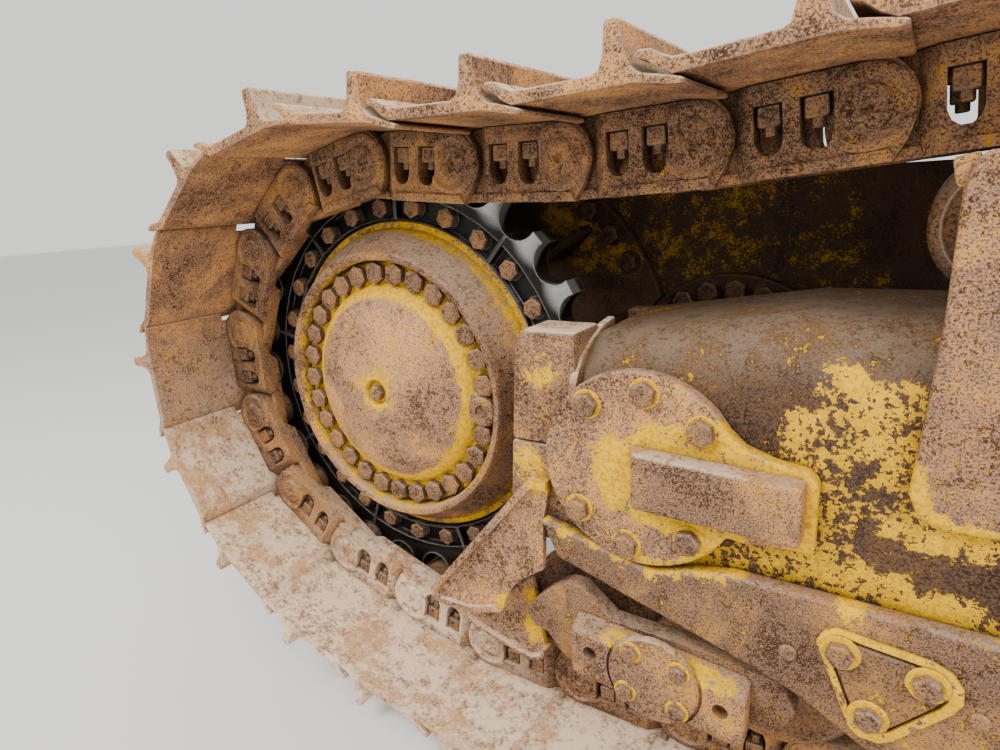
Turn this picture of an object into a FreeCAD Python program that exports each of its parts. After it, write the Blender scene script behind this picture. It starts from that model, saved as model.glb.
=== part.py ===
# Right-hand track unit of a bulldozer: the endless track with its sprocket, final drive, roller
# frame, bogies, idler and recoil, and the side member of the tractor's main frame that carries it.
# Millimetres. X points to the tractor's front, -Y outboard, Z up. The origin is on the sprocket's
# axis, at the inboard face of the side member. w is a distance outboard from the track's middle.
import FreeCAD, Part
import math
import os

import Sketcher

V = FreeCAD.Vector

# alias, millimetres or a count or degrees, what it is
SIZES = [
    ("track_offset", 382, "from the side member's inboard face to the track's middle"),
    ("running_gap", 6, "gap left round what turns or slides"),
    ("seat_gap", 0.3, "gap left where a round piece sits in a round seat"),
    ("pitch", 228.6, "distance from one track pin to the next"),
    ("links", 42, "links, pins and shoes in the track"),
    ("ground_line", 581, "drop from the sprocket's axis to the pin line on the ground"),
    ("rail_depth", 72, "from the pin line in to the rail that the rollers run on"),
    ("seat_height", 58, "from the pin line out to the shoe's seat on the links"),
    ("link_face", 115, "from the track's middle to a link's outer face"),
    ("link_plate", 23, "thickness of each half of an offset link"),
    ("link_front_end", 50, "overhang of a link's front end past its front pin, at the rail"),
    ("link_rear_end", 44, "overhang of a link's rear end behind its rear pin, at the rail"),
    ("seat_start", 46, "from a link's rear pin to where its shoe's seat begins"),
    ("seat_end", 38, "overhang of the shoe's seat past the front pin"),
    ("bushing_radius", 40, "radius of a bushing"),
    ("shoe_width", 660, "length of a shoe across the track"),
    ("shoe_plate", 17, "thickness of a shoe's plate"),
    ("grouser_front", 195, "from a link's rear pin to the grouser of its shoe"),
    ("grouser_height", 64, "height of a grouser over its plate"),
    ("grouser_tip", 22, "thickness of a grouser at its tip"),
    ("shoe_nose", 34, "rise of a shoe's nose over its seat"),
    ("sprocket_teeth", 27, "teeth of the sprocket, every second one in use on a lap"),
    ("pitch_radius", 495.6, "radius of the circle that the engaged pins lie on"),
    ("first_pin_angle", 88, "place of the uppermost engaged pin, in degrees from the front"),
    ("lower_run_slope", 13.6, "slope of the track where it leaves the sprocket, in degrees"),
    ("tooth_gap_radius", 43.6, "radius of the gap between two teeth"),
    ("tooth_tip_radius", 502, "radius of the teeth's tips"),
    ("tooth_half", 30, "half the width of the teeth along the axis"),
    ("segments", 9, "bolted tooth segments round the sprocket"),
    ("segment_gap", 3, "gap between two tooth segments"),
    ("segment_inner", 374, "inside radius of the tooth segments"),
    ("segment_land", 434, "outside radius of the land that the segment bolts sit on"),
    ("segment_land_face", 4, "from the track's middle out to the segment bolts' land"),
    ("hub_flange_radius", 440, "radius of the hub's flange behind the segments"),
    ("hub_flange", 26, "thickness of the hub's flange"),
    ("hub_step", 352, "radius of the hub outboard of the segments"),
    ("rim_radius", 312, "outside radius of the hub's rim"),
    ("rim_face", 97, "from the track's middle out to the hub's rim"),
    ("rim_wall", 20, "thickness of the hub's rim"),
    ("cover_seat", 48, "from the track's middle out to the seat of the hub's cover"),
    ("cover_flange", 14, "thickness of the cover's bolted flange"),
    ("cover_radius", 288, "radius of the hub's cover"),
    ("dome_radius", 238, "radius of the raised dome of the cover"),
    ("dome_rise", 70, "rise of the dome over the cover's flange"),
    ("plug_depth", 14, "depth of the recess in the middle of the dome"),
    ("plug_recess", 28, "radius of the recess in the middle of the dome"),
    ("case_flange_radius", 530, "radius of the fixed case's flange on the side member"),
    ("case_flange", 30, "thickness of the case's flange"),
    ("case_foot", 385, "radius of the fixed case next to its flange"),
    ("case_nose", 330, "radius of the fixed case next to the hub"),
    ("spindle_radius", 200, "radius of the case's spindle that the hub turns on"),
    ("spindle_length", 60, "length of the spindle beyond the case's nose"),
    ("shaft_bore", 90, "radius of the bore for the drive shaft in the side member"),
    ("member_web", 40, "thickness of the side member"),
    ("member_rear", 560, "from the sprocket's axis back to the side member's end"),
    ("member_rear_top", 560, "height of the side member over the axis, at the rear"),
    ("member_top", 430, "height of the side member over the axis, further on"),
    ("member_bottom", 330, "drop of the side member below the axis"),
    ("member_step", 860, "from the sprocket's axis on to where the side member gets lower"),
    ("member_front", 2600, "from the sprocket's axis on to the side member's end"),
    ("hull_bolt_radius", 17, "radius of the hull's bolt holes"),
    ("hull_bolts_wide", 1000, "spacing of the hull's bolt holes along the side member"),
    ("hull_bolts_high", 480, "spacing of the hull's bolt holes up the side member"),
    ("hull_bolts_front", 1700, "from the sprocket's axis on to the middle of the hull's bolts"),
    ("hull_bolts_up", 50, "height of the middle of the hull's bolts over the axis"),
    ("pivot_front", 665, "from the sprocket's axis on to the pivot shaft"),
    ("pivot_drop", 15, "drop of the pivot shaft below the axis"),
    ("pivot_radius", 85, "radius of the pivot shaft"),
    ("pivot_flange_radius", 237, "radius of the pivot shaft's flange on the side member"),
    ("flange_share", 0.47, "thickness of the pivot shaft's flange, as a share of the room for it"),
    ("pivot_cover_radius", 162, "radius of the pivot shaft's outer cover"),
    ("pivot_cover", 28, "thickness of the outer cover"),
    ("pivot_arm", 245, "from the pivot shaft on to the end of the cover's arm"),
    ("pivot_block", 40, "how far the block stands off the cover"),
    ("pivot_block_high", 92, "height of the block on the cover"),
    ("frame_rear", 550, "from the sprocket's axis on to the roller frame's rear wall"),
    ("frame_rise_end", 870, "from the sprocket's axis on to the end of the frame's slope"),
    ("frame_front", 2150, "from the sprocket's axis on to the end of the frame's box"),
    ("frame_outer", 225, "from the track's middle out to the frame's outboard wall"),
    ("frame_inner", 225, "from the track's middle in to the frame's inboard wall"),
    ("frame_top_rear", 178, "height of the frame's top over the axis, at its rear"),
    ("frame_top", 225, "height of the frame's top over the axis, further on"),
    ("frame_bottom", 205, "drop of the frame's underside below the axis"),
    ("frame_round", 112, "radius of the frame's upper edges"),
    ("tail_rear", 420, "from the sprocket's axis on to the end of the tail cheeks"),
    ("tail_top", 192, "height of the tail cheeks over the axis"),
    ("tail_bottom", 190, "drop of the tail cheeks below the axis"),
    ("tail_wall", 96, "thickness of the outboard tail cheek"),
    ("guard_rear", 228, "from the sprocket's axis on to the stone guard's rear corner"),
    ("guard_bottom", 504, "drop of the stone guard's lowest corner below the axis"),
    ("guard_wall", 25, "thickness of the stone guard's plates"),
    ("guard_inside", 155, "from the track's middle out to the guard's inner plate"),
    ("skirt_wall", 32, "thickness of the skirt plates"),
    ("skirt_top", 158, "drop of the skirts' upper edge below the axis"),
    ("skirt_bottom", 377, "drop of the skirts' lower edge below the axis"),
    ("skirt_scallop", 300, "drop of the skirts' edge over a bogie's cap"),
    ("skirt_front", 2870, "from the sprocket's axis on to the skirts' front end"),
    ("first_roller", 530, "from the sprocket's axis on to the first track roller"),
    ("roller_spacing", 330, "distance from one track roller to the next"),
    ("rollers", 7, "track rollers"),
    ("roller_radius", 120, "radius of a track roller's tread"),
    ("roller_flange", 140, "radius of a track roller's flanges"),
    ("roller_half", 140, "half the length of a track roller"),
    ("axle_radius", 34, "radius of a track roller's axle"),
    ("bogie_plate", 35, "thickness of a minor bogie's side plate"),
    ("bogie_rear", 106, "overhang of a minor bogie behind its rear roller"),
    ("bogie_horn", 111, "height of a minor bogie's rear end over its rollers' axles"),
    ("bogie_face", 218, "from the track's middle to a minor bogie's outer faces"),
    ("swing_arm", 34, "thickness of a major bogie's arm"),
    ("swing_pin_front", 320, "from a minor bogie's pin on to its major bogie's pin"),
    ("swing_rise", 133, "height of a major bogie's pin over the rollers' axles"),
    ("swing_pin_radius", 32, "radius of a major bogie's pin"),
    ("minor_pin_radius", 30, "radius of a minor bogie's pin"),
    ("cap_radius", 80, "radius of the round cap on a minor bogie's pin"),
    ("cap_face", 265, "from the track's middle out to the round cap's face"),
    ("cap_block", 300, "length of the block round the cap"),
    ("cap_block_high", 104, "height of the block round the cap"),
    ("cap_step", 10, "how far the round cap stands off its block"),
    ("pin_cover", 14, "thickness of the three-cornered covers on the skirt"),
    ("carrier_front", 1106, "from the sprocket's axis on to the first carrier roller"),
    ("carrier_spacing", 1100, "distance between the carrier rollers"),
    ("carrier_height", 352, "height of the carrier rollers over the axis"),
    ("carrier_radius", 96, "radius of a carrier roller's tread"),
    ("carrier_half", 118, "half the length of a carrier roller"),
    ("support_wall", 26, "thickness of a carrier roller's support plate"),
    ("support_rear", 82, "from the carrier roller back to its support's rear edge"),
    ("support_front", 190, "from the carrier roller on to its support's front edge"),
    ("support_top", 430, "height of the supports over the axis"),
    ("support_foot", 20, "drop of the supports' lower edge below the axis"),
    ("carrier_shaft", 45, "radius of a carrier roller's shaft"),
    ("idler_radius", 360, "radius of the idler's treads"),
    ("idler_rib", 388, "radius of the idler's rib between the links"),
    ("idler_half", 90, "half the width of the idler"),
    ("idler_rib_half", 38, "half the width of the idler's rib"),
    ("idler_rim", 46, "depth of the idler's rim below its treads"),
    ("idler_web", 26, "half the thickness of the idler's web"),
    ("idler_hub", 112, "radius of the idler's hub"),
    ("idler_shaft", 45, "radius of the idler's shaft"),
    ("yoke_wall", 42, "thickness of the idler yoke's arms"),
    ("yoke_inside", 104, "from the track's middle out to the yoke's arms"),
    ("yoke_rear", 2700, "from the sprocket's axis on to the yoke's crosshead"),
    ("yoke_crosshead", 90, "thickness of the yoke's crosshead"),
    ("block_half", 95, "half the length of an idler block"),
    ("block_half_high", 60, "half the height of an idler block"),
    ("rail_inside", 150, "from the track's middle out to the frame's front rails"),
    ("rail_top", 150, "height of the front rails over the axis, at the frame"),
    ("rail_low", 84, "height of the front rails under the idler blocks"),
    ("rail_end", 150, "overhang of the front rails past the idler's axis"),
    ("recoil_radius", 112, "radius of the recoil housing"),
    ("recoil_front", 2560, "from the sprocket's axis on to the recoil housing's end"),
    ("rod_radius", 48, "radius of the adjuster's rod"),
    ("seat_rear", 1830, "from the sprocket's axis on to the equalizer bar's seat"),
    ("seat_long", 160, "length of the equalizer bar's seat along the frame"),
    ("seat_clearance", 32, "gap between that seat and the side member"),
    ("seat_high", 150, "height of the equalizer bar's seat"),
]

doc = FreeCAD.newDocument("TrackUnit")
sheet = doc.addObject("Spreadsheet::Sheet", "Sizes")
for row, (alias, value, meaning) in enumerate(SIZES, start=1):
    sheet.set("A%d" % row, alias.replace("_", " "))
    sheet.set("B%d" % row, str(value))
    sheet.set("C%d" % row, meaning)
    sheet.setAlias("B%d" % row, alias)
doc.recompute()

ALIASES = [alias for alias, _, _ in SIZES]
SUBPARTS = []
# Flat sides that stand for a round, from the largest pieces to the pins and the barrels
BIG_SIDES = 28
COVER_SIDES = 20
BARREL_SIDES = 16
ROLLER_SIDES = 12
PIN_SIDES = 8
FLANK_ANGLES = (32, 64, 94)


def size(alias):
    """A driving size, read from the sheet."""
    return float(sheet.get(alias))


def bound(text):
    """The text of an expression with each alias written as a cell of the sheet."""
    words = text.replace("(", " ( ").replace(")", " ) ").split()
    return " ".join("Sizes." + word if word in ALIASES else word for word in words)


def value(text):
    """The number that an expression gives, worked out by the sheet."""
    sheet.set("E1", "=" + " ".join(text.replace("(", " ( ").replace(")", " ) ").split()))
    sheet.recompute()
    return float(sheet.get("E1"))


def outline(body, role, points):
    """A closed sketch on one of the body's own planes, each corner bound to two expressions."""
    sketch = body.newObject("Sketcher::SketchObject", body.Name + "_outline")
    plane = [feature for feature in body.Origin.OriginFeatures if feature.Role == role][0]
    sketch.AttachmentSupport = [(plane, "")]
    sketch.MapMode = "FlatFace"
    count = len(points)
    ring = []
    for index in range(count):
        angle = 2 * math.pi * index / count
        ring.append(V(100 * math.cos(angle), 100 * math.sin(angle), 0))
    for index in range(count):
        sketch.addGeometry(Part.LineSegment(ring[index], ring[(index + 1) % count]), False)
    for index in range(count):
        sketch.addConstraint(Sketcher.Constraint("Coincident", index, 2, (index + 1) % count, 1))
    for index, corner in enumerate(points):
        for kind, text, guess in zip(("DistanceX", "DistanceY"), corner, ring[index]):
            at = sketch.addConstraint(Sketcher.Constraint(kind, -1, 1, index, 1, guess))
            sketch.setExpression("Constraints[%d]" % at, bound(text))
    return sketch


def round_sketch(body, role, radius, x="0", y="0"):
    """A sketch of one circle, its middle offset from the body's own origin."""
    sketch = body.newObject("Sketcher::SketchObject", body.Name + "_circle")
    plane = [feature for feature in body.Origin.OriginFeatures if feature.Role == role][0]
    sketch.AttachmentSupport = [(plane, "")]
    sketch.MapMode = "FlatFace"
    sketch.addGeometry(Part.Circle(V(0, 0, 0), V(0, 0, 1), 10), False)
    sketch.addConstraint(Sketcher.Constraint("Coincident", 0, 3, -1, 1))
    at = sketch.addConstraint(Sketcher.Constraint("Radius", 0, 10))
    sketch.setExpression("Constraints[%d]" % at, bound(radius))
    sketch.setExpression("AttachmentOffset.Base.x", bound(x))
    sketch.setExpression("AttachmentOffset.Base.y", bound(y))
    return sketch


def corners(radius, sides, x="0", y="0"):
    """The corners of a regular outline that stands in for a circle where it repeats."""
    points = []
    for side in range(sides):
        angle = 2 * math.pi * (side + 0.5) / sides
        points.append(("%s + ( %s ) * ( 0 %+.6f )" % (x, radius, math.cos(angle)),
                       "%s + ( %s ) * ( 0 %+.6f )" % (y, radius, math.sin(angle))))
    return points


def shares(points, alias):
    """Corners given as shares of one named size, so that the outline grows with it."""
    return [("( 0 %+.4f ) * %s" % (x, alias), "( 0 %+.4f ) * %s" % (z, alias)) for x, z in points]


def new_body(label, x="0", z="0", kept=True):
    """An empty body with its own label, placed along and above the sprocket's axis."""
    body = doc.addObject("PartDesign::Body", label)
    body.Label = label
    body.setExpression("Placement.Base.x", bound(x))
    body.setExpression("Placement.Base.z", bound(z))
    if kept:
        SUBPARTS.append(body)
    return body


def pad_between(body, sketch, w_low, thickness):
    """A pad of a side outline, from w_low outboard by its thickness."""
    sketch.setExpression("AttachmentOffset.Base.z", bound("track_offset + ( " + w_low + " )"))
    pad = body.newObject("PartDesign::Pad", body.Name + "_pad")
    pad.Profile = sketch
    pad.setExpression("Length", bound(thickness))
    return pad


def cut_between(body, sketch, w_high, depth):
    """A pocket of a side outline, from w_high inboard by its depth."""
    sketch.setExpression("AttachmentOffset.Base.z", bound("track_offset + ( " + w_high + " )"))
    pocket = body.newObject("PartDesign::Pocket", body.Name + "_pocket")
    pocket.Profile = sketch
    pocket.setExpression("Length", bound(depth))
    return pocket


def add_plate(body, points, w_low, thickness):
    """A flat plate with a side outline, added to the body."""
    return pad_between(body, outline(body, "XZ_Plane", points), w_low, thickness)


def drill(body, radius, w_high, depth, x="0", z="0", sides=0):
    """A hole along Y, through from w_high inboard, round or with a number of flat sides."""
    if sides:
        hole = outline(body, "XZ_Plane", corners(radius, sides, x, z))
    else:
        hole = round_sketch(body, "XZ_Plane", radius, x, z)
    return cut_between(body, hole, w_high, depth)


def fillet(body, radius, chosen):
    """A fillet on those edges of the body's last form that the function chooses."""
    doc.recompute()
    base = body.Tip
    names = ["Edge%d" % number for number, edge in enumerate(base.Shape.Edges, start=1)
             if chosen(edge)]
    rounding = body.newObject("PartDesign::Fillet", body.Name + "_fillet")
    rounding.Base = (base, names)
    rounding.Radius = size(radius)
    rounding.setExpression("Radius", bound(radius))
    return rounding


def other_side(shape):
    """The shape mirrored about the track's middle plane."""
    return shape.mirror(V(0, -size("track_offset"), 0), V(0, 1, 0))


def keep(label, shape):
    """A sub-part whose form is worked out here."""
    feature = doc.addObject("Part::Feature", label)
    feature.Label = label
    feature.Shape = shape
    SUBPARTS.append(feature)
    return feature


def copies(label, body, shifts, both_sides=False):
    """Copies of one body's form, each shifted along X, which share a node."""
    doc.recompute()
    shapes = []
    for shift in shifts:
        shape = body.Shape.copy()
        shape.translate(V(shift, 0, 0))
        shapes.append(shape)
        if both_sides:
            shapes.append(other_side(shape))
    return keep(label, Part.makeCompound(shapes))


# The track's path: a closed loop of pins, each one pitch from the next
half_pitch = size("pitch") / 2
idler_z = size("idler_radius") + size("rail_depth") - size("ground_line")
idler_pins = math.hypot(size("idler_radius") + size("rail_depth"), half_pitch)
carrier_pins = size("carrier_height") + size("carrier_radius") + size("rail_depth")
PATH_STEPS = 90
TOP_SAGS = (26, 24, 38)
LEAVING_SAG = 14
IDLER_TOP_ANGLE = 84


def loop_points(idler_x):
    """Close points along the pin line: over the sprocket's rear, the ground, the idler, the top."""
    wrap = size("pitch_radius")
    ground = size("ground_line")
    slope = math.radians(size("lower_run_slope"))
    start = math.radians(size("first_pin_angle"))
    end = 1.5 * math.pi - slope
    points = []
    for step in range(4 * PATH_STEPS + 1):
        angle = start + (end - start) * step / (4 * PATH_STEPS)
        points.append((wrap * math.cos(angle), wrap * math.sin(angle)))
    left_x, left_z = points[-1]
    touch = left_x + (ground + left_z) / math.tan(slope)
    for step in range(1, PATH_STEPS + 1):
        share = step / PATH_STEPS
        points.append((left_x + (touch - left_x) * share,
                       left_z - (ground + left_z) * share - LEAVING_SAG * math.sin(math.pi * share)))
    lifted = idler_x + half_pitch
    for step in range(1, 4 * PATH_STEPS + 1):
        points.append((touch + (lifted - touch) * step / (4 * PATH_STEPS), -ground))
    turn_start = -math.acos(half_pitch / idler_pins)
    turn_end = math.radians(IDLER_TOP_ANGLE)
    for step in range(1, 3 * PATH_STEPS + 1):
        angle = turn_start + (turn_end - turn_start) * step / (3 * PATH_STEPS)
        points.append((idler_x + idler_pins * math.cos(angle), idler_z + idler_pins * math.sin(angle)))
    first = size("carrier_front")
    held = [points[-1], (first + size("carrier_spacing"), carrier_pins), (first, carrier_pins), points[0]]
    for (x0, z0), (x1, z1), sag in zip(held, held[1:], TOP_SAGS):
        for step in range(1, 2 * PATH_STEPS + 1):
            share = step / (2 * PATH_STEPS)
            points.append((x0 + (x1 - x0) * share,
                           z0 + (z1 - z0) * share - 4 * sag * share * (1 - share)))
    return points


def walk(points):
    """Pins one pitch apart along the points, and the length that is left over or missing."""
    pitch = size("pitch")
    count = int(size("links"))
    pins = [points[0]]
    at = 0
    while len(pins) <= count and at < len(points) - 1:
        if math.dist(points[at + 1], pins[-1]) < pitch:
            at += 1
            continue
        (ax, az), (bx, bz) = points[at], points[at + 1]
        low, high = 0.0, 1.0
        for _ in range(40):
            middle = (low + high) / 2
            reach = math.dist((ax + (bx - ax) * middle, az + (bz - az) * middle), pins[-1])
            low, high = (middle, high) if reach < pitch else (low, middle)
        pins.append((ax + (bx - ax) * high, az + (bz - az) * high))
    if len(pins) <= count:
        return pins, -pitch * (count + 1 - len(pins))
    return pins, math.dist(pins[-1], points[-1])


def closed_track():
    """The idler's place that closes the track on its last link, and the pins."""
    low, high = size("carrier_front") + size("carrier_spacing"), 2.2 * size("links") * size("pitch") / 4
    for _ in range(60):
        middle = (low + high) / 2
        if walk(loop_points(middle))[1] < 0:
            low = middle
        else:
            high = middle
    return high, walk(loop_points(high))[0][:-1]


idler_x, pins = closed_track()


def height_under(x, radius):
    """The axle height at which a roller at x just touches the rail of the run over it."""
    heights = []
    for (x0, z0), (x1, z1) in zip(pins, pins[1:] + pins[:1]):
        if z0 < 0 or abs((x0 + x1) / 2 - x) > size("pitch"):
            continue
        along, up = (x0 - x1) / size("pitch"), (z0 - z1) / size("pitch")
        heights.append(z0 - ((x0 - x) * up + size("rail_depth") + radius) / along)
    return min(heights)


def prism(points, w_low, w_high):
    """A prism across the track with a side outline of (x, z) points."""
    wire = Part.makePolygon([V(x, -w_low, z) for x, z in points + points[:1]])
    return Part.Face(wire).extrude(V(0, w_low - w_high, 0))


def faceted(rows, sides, x=0.0, z=0.0):
    """A closed turned form about Y with flat facets, from rows of (radius, w) texts."""
    rings = []
    for radius_text, w_text in rows:
        radius, w = value(radius_text), value(w_text)
        y = -size("track_offset") - w
        if radius < 0.01:
            rings.append([V(x, y, z)])
            continue
        rings.append([V(x + radius * math.cos(2 * math.pi * (side + 0.5) / sides), y,
                        z + radius * math.sin(2 * math.pi * (side + 0.5) / sides))
                      for side in range(sides)])
    faces = []
    for low, high in zip(rings, rings[1:] + rings[:1]):
        if len(low) == 1 and len(high) == 1:
            continue
        if len(low) == 1 or len(high) == 1:
            ring = low if len(high) == 1 else high
            faces.append(Part.Face(Part.makePolygon(ring + ring[:1])))
            continue
        for side in range(sides):
            after = (side + 1) % sides
            corners = [low[side], low[after], high[after], high[side], low[side]]
            faces.append(Part.Face(Part.makePolygon(corners)))
    solid = Part.Solid(Part.Shell(faces))
    if solid.Volume < 0:
        solid.reverse()
    return solid


def link_shapes():
    """One link pair and its bushing, the rear pin at the origin and the front one at one pitch.

    Each link is offset: its rear half lies inside the link behind it, and its front half outside.
    """
    pitch = size("pitch")
    seat, rail = size("seat_height"), size("rail_depth")
    face, wall = size("link_face"), size("link_plate")
    front = [(0.45 * pitch, seat), (pitch + size("seat_end"), seat),
             (pitch + size("link_front_end"), -rail), (0.45 * pitch, -rail)]
    rear = [(0.55 * pitch, seat), (size("seat_start"), seat), (-size("link_rear_end"), -rail),
            (0.55 * pitch, -rail)]
    shapes = []
    for side in (1, -1):
        outer = sorted((side * face, side * (face - wall)))
        inner = sorted((side * (face - wall), side * (face - 2 * wall)))
        shapes.append(prism(front, *outer))
        shapes.append(prism(rear, *inner))
    reach = size("bushing_radius") * math.sqrt(0.5)
    corners = [(reach, reach), (-reach, reach), (-reach, -reach), (reach, -reach)]
    shapes.append(prism(corners, 2 * wall - face, face - 2 * wall))
    return shapes


def shoe_shape():
    """A shoe with one grouser: its nose laps over the end of the shoe behind it."""
    pitch, seat, half = size("pitch"), size("seat_height"), size("shoe_width") / 2
    top = seat + size("shoe_plate")
    ridge, half_tip = size("grouser_front"), size("grouser_tip") / 2
    tip = top + size("grouser_height")
    profile = [(2, seat + size("shoe_nose")), (size("seat_start"), seat), (pitch + size("seat_end"), seat),
               (ridge + half_tip + 16, top), (ridge + half_tip, tip), (ridge - half_tip, tip),
               (ridge - half_tip - 15, top), (size("seat_start") - 2, top)]
    return prism(profile, -half, half)


def laid(shape, start, end):
    """A copy of a link piece laid from one pin to the next, its shoe outwards."""
    turn = math.degrees(math.atan2(end[1] - start[1], end[0] - start[0]))
    copy = shape.copy()
    copy.rotate(V(0, 0, 0), V(0, 1, 0), -turn)
    copy.translate(V(start[0], -size("track_offset"), start[1]))
    return copy


module = link_shapes() + [shoe_shape()]
ring = list(reversed(pins))
pieces = [laid(shape, start, end) for start, end in zip(ring, ring[1:] + ring[:1]) for shape in module]
track = pieces[0].multiFuse(pieces[1:]).removeSplitter()
keep("track", track.Solids[0])

# Sprocket: nine bolted segments of three teeth, whose gaps fit the track's bushings
def segment_shape(start):
    """One segment that begins at a gap's middle, from its angle: the teeth and the bolts' land."""
    step = 2 * math.pi / size("sprocket_teeth")
    teeth_each = int(size("sprocket_teeth") / size("segments"))
    gap, slack = size("tooth_gap_radius"), size("segment_gap") / 2
    flank = [math.radians(angle) for angle in FLANK_ANGLES]

    def gap_point(middle, turn):
        reach, across = size("pitch_radius") - gap * math.cos(turn), gap * math.sin(turn)
        return (reach * math.cos(middle) - across * math.sin(middle),
                reach * math.sin(middle) + across * math.cos(middle))

    def band(radius):
        points = []
        for tooth in range(teeth_each + 1):
            shift = slack if tooth == 0 else -slack if tooth == teeth_each else 0
            middle = start + tooth * step
            points.append((radius * math.cos(middle) - shift * math.sin(middle),
                           radius * math.sin(middle) + shift * math.cos(middle)))
        return points

    teeth = []
    for tooth in range(teeth_each):
        low, high = start + tooth * step, start + (tooth + 1) * step
        teeth.append(gap_point(low, slack / gap if tooth == 0 else 0))
        teeth += [gap_point(low, turn) for turn in flank]
        teeth += [gap_point(high, -turn) for turn in reversed(flank)]
    teeth.append(gap_point(high, -slack / gap))
    land = band(size("segment_land"))
    inner = band(size("segment_inner") / math.cos(step / 2))
    face, back = size("tooth_half"), -size("tooth_half")
    toothed = prism(teeth + land[::-1], back, face)
    bolted = prism(land + inner[::-1], back, size("segment_land_face"))
    segment = toothed.fuse(bolted).removeSplitter()
    segment.translate(V(0, -size("track_offset"), 0))
    return segment


first = math.radians(size("first_pin_angle"))
segments = int(size("segments"))
keep("sprocket_segments", Part.makeCompound([
    segment_shape(first + 2 * math.pi * turn / segments) for turn in range(segments)]))

# Hub, its domed cover and the fixed case behind the sprocket, whose spindle the hub turns on
hub_back = "0 - tooth_half - hub_flange"
keep("sprocket_hub", faceted([
    ("spindle_radius + seat_gap", hub_back), ("hub_flange_radius", hub_back),
    ("hub_flange_radius", "0 - tooth_half"), ("segment_inner - seat_gap", "0 - tooth_half"),
    ("segment_inner - seat_gap", "segment_land_face + 10"), ("hub_step", "segment_land_face + 10"),
    ("rim_radius + 2", "rim_face - 21"), ("rim_radius", "rim_face"), ("rim_radius - rim_wall", "rim_face"),
    ("rim_radius - rim_wall", "cover_seat"), ("0", "cover_seat"), ("0", hub_back + " + spindle_length"),
    ("spindle_radius + seat_gap", hub_back + " + spindle_length")], BIG_SIDES))
keep("hub_cover", faceted([
    ("0", "cover_seat"), ("cover_radius", "cover_seat"), ("cover_radius", "cover_seat + cover_flange"),
    ("dome_radius", "cover_seat + cover_flange"),
    ("0.93 * dome_radius", "cover_seat + cover_flange + 0.34 * dome_rise"),
    ("0.7 * dome_radius", "cover_seat + cover_flange + 0.7 * dome_rise"),
    ("0.36 * dome_radius", "cover_seat + cover_flange + 0.94 * dome_rise"),
    ("plug_recess", "cover_seat + cover_flange + dome_rise"),
    ("plug_recess", "cover_seat + cover_flange + dome_rise - plug_depth"),
    ("0", "cover_seat + cover_flange + dome_rise - plug_depth")], BIG_SIDES))
wall_face = "member_web - track_offset"
nose_face = hub_back + " - running_gap"
case = faceted([
    ("0", wall_face), ("case_flange_radius", wall_face),
    ("case_flange_radius", wall_face + " + case_flange"),
    ("case_foot", wall_face + " + case_flange + 8"),
    ("case_nose", "0 - 0.4 * track_offset"),
    ("case_nose", nose_face), ("spindle_radius", nose_face),
    ("spindle_radius", nose_face + " + spindle_length"), ("0", nose_face + " + spindle_length")], BIG_SIDES)
round_flange = faceted([
    ("0", wall_face + " - 1"), ("pivot_flange_radius + running_gap", wall_face + " - 1"),
    ("pivot_flange_radius + running_gap", wall_face + " + case_flange + 20"),
    ("0", wall_face + " + case_flange + 20")], BIG_SIDES, size("pivot_front"), -size("pivot_drop"))
keep("final_drive_case", case.cut(round_flange))

# Side member of the main frame, deeper at the rear where the final drive is bolted on
member = new_body("side_member")
add_plate(member, [
    ("0 - member_rear", "0 - member_bottom + 60"), ("0 - member_rear + 150", "0 - member_rear"),
    ("0.6 * member_rear", "0 - member_rear"), ("member_step", "0 - member_bottom"),
    ("member_front", "0 - member_bottom"), ("member_front", "member_top - 120"),
    ("member_front - 120", "member_top"), ("member_step", "member_top"),
    ("0.8 * member_rear", "member_rear_top"), ("0 - member_rear + 150", "member_rear_top"),
    ("0 - member_rear", "member_rear_top - 150")], "0 - track_offset", "member_web")
drill(member, "shaft_bore", "member_web - track_offset", "member_web")
for side in ("-", "+"):
    for level in ("-", "+"):
        drill(member, "hull_bolt_radius", "member_web - track_offset", "member_web",
              "hull_bolts_front " + side + " hull_bolts_wide / 2",
              "hull_bolts_up " + level + " hull_bolts_high / 2")

# Pivot shaft between the side member and the roller frame, its flange and its outer cover
pivot_place = (size("pivot_front"), -size("pivot_drop"))
flange_room = "( track_offset - member_web - frame_inner - skirt_wall )"
flange_face = wall_face + " + flange_share * " + flange_room
keep("pivot_flange", faceted([
    ("0", wall_face), ("pivot_flange_radius", wall_face), ("pivot_flange_radius", flange_face),
    ("0", flange_face)], BIG_SIDES, *pivot_place))
keep("pivot_shaft", faceted([
    ("0", flange_face), ("pivot_radius", flange_face), ("pivot_radius", "frame_outer"),
    ("0", "frame_outer")], BIG_SIDES, *pivot_place))
cover = new_body("pivot_cover", "pivot_front", "0 - pivot_drop")
add_plate(cover, corners("pivot_cover_radius", COVER_SIDES), "frame_outer", "pivot_cover")
add_plate(cover, [
    ("0", "0 - 0.5 * pivot_block_high - 24"), ("pivot_arm + 12", "0 - 0.5 * pivot_block_high - 24"),
    ("pivot_arm + 12", "0.5 * pivot_block_high + 18"), ("0", "0.5 * pivot_block_high + 18")],
    "frame_outer", "pivot_cover")
add_plate(cover, [
    ("0 - 10", "0 - 0.5 * pivot_block_high"), ("pivot_arm", "0 - 0.5 * pivot_block_high - 6"),
    ("pivot_arm", "0.5 * pivot_block_high - 6"), ("0 - 10", "0.5 * pivot_block_high")],
    "frame_outer + pivot_cover", "pivot_block")

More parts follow.
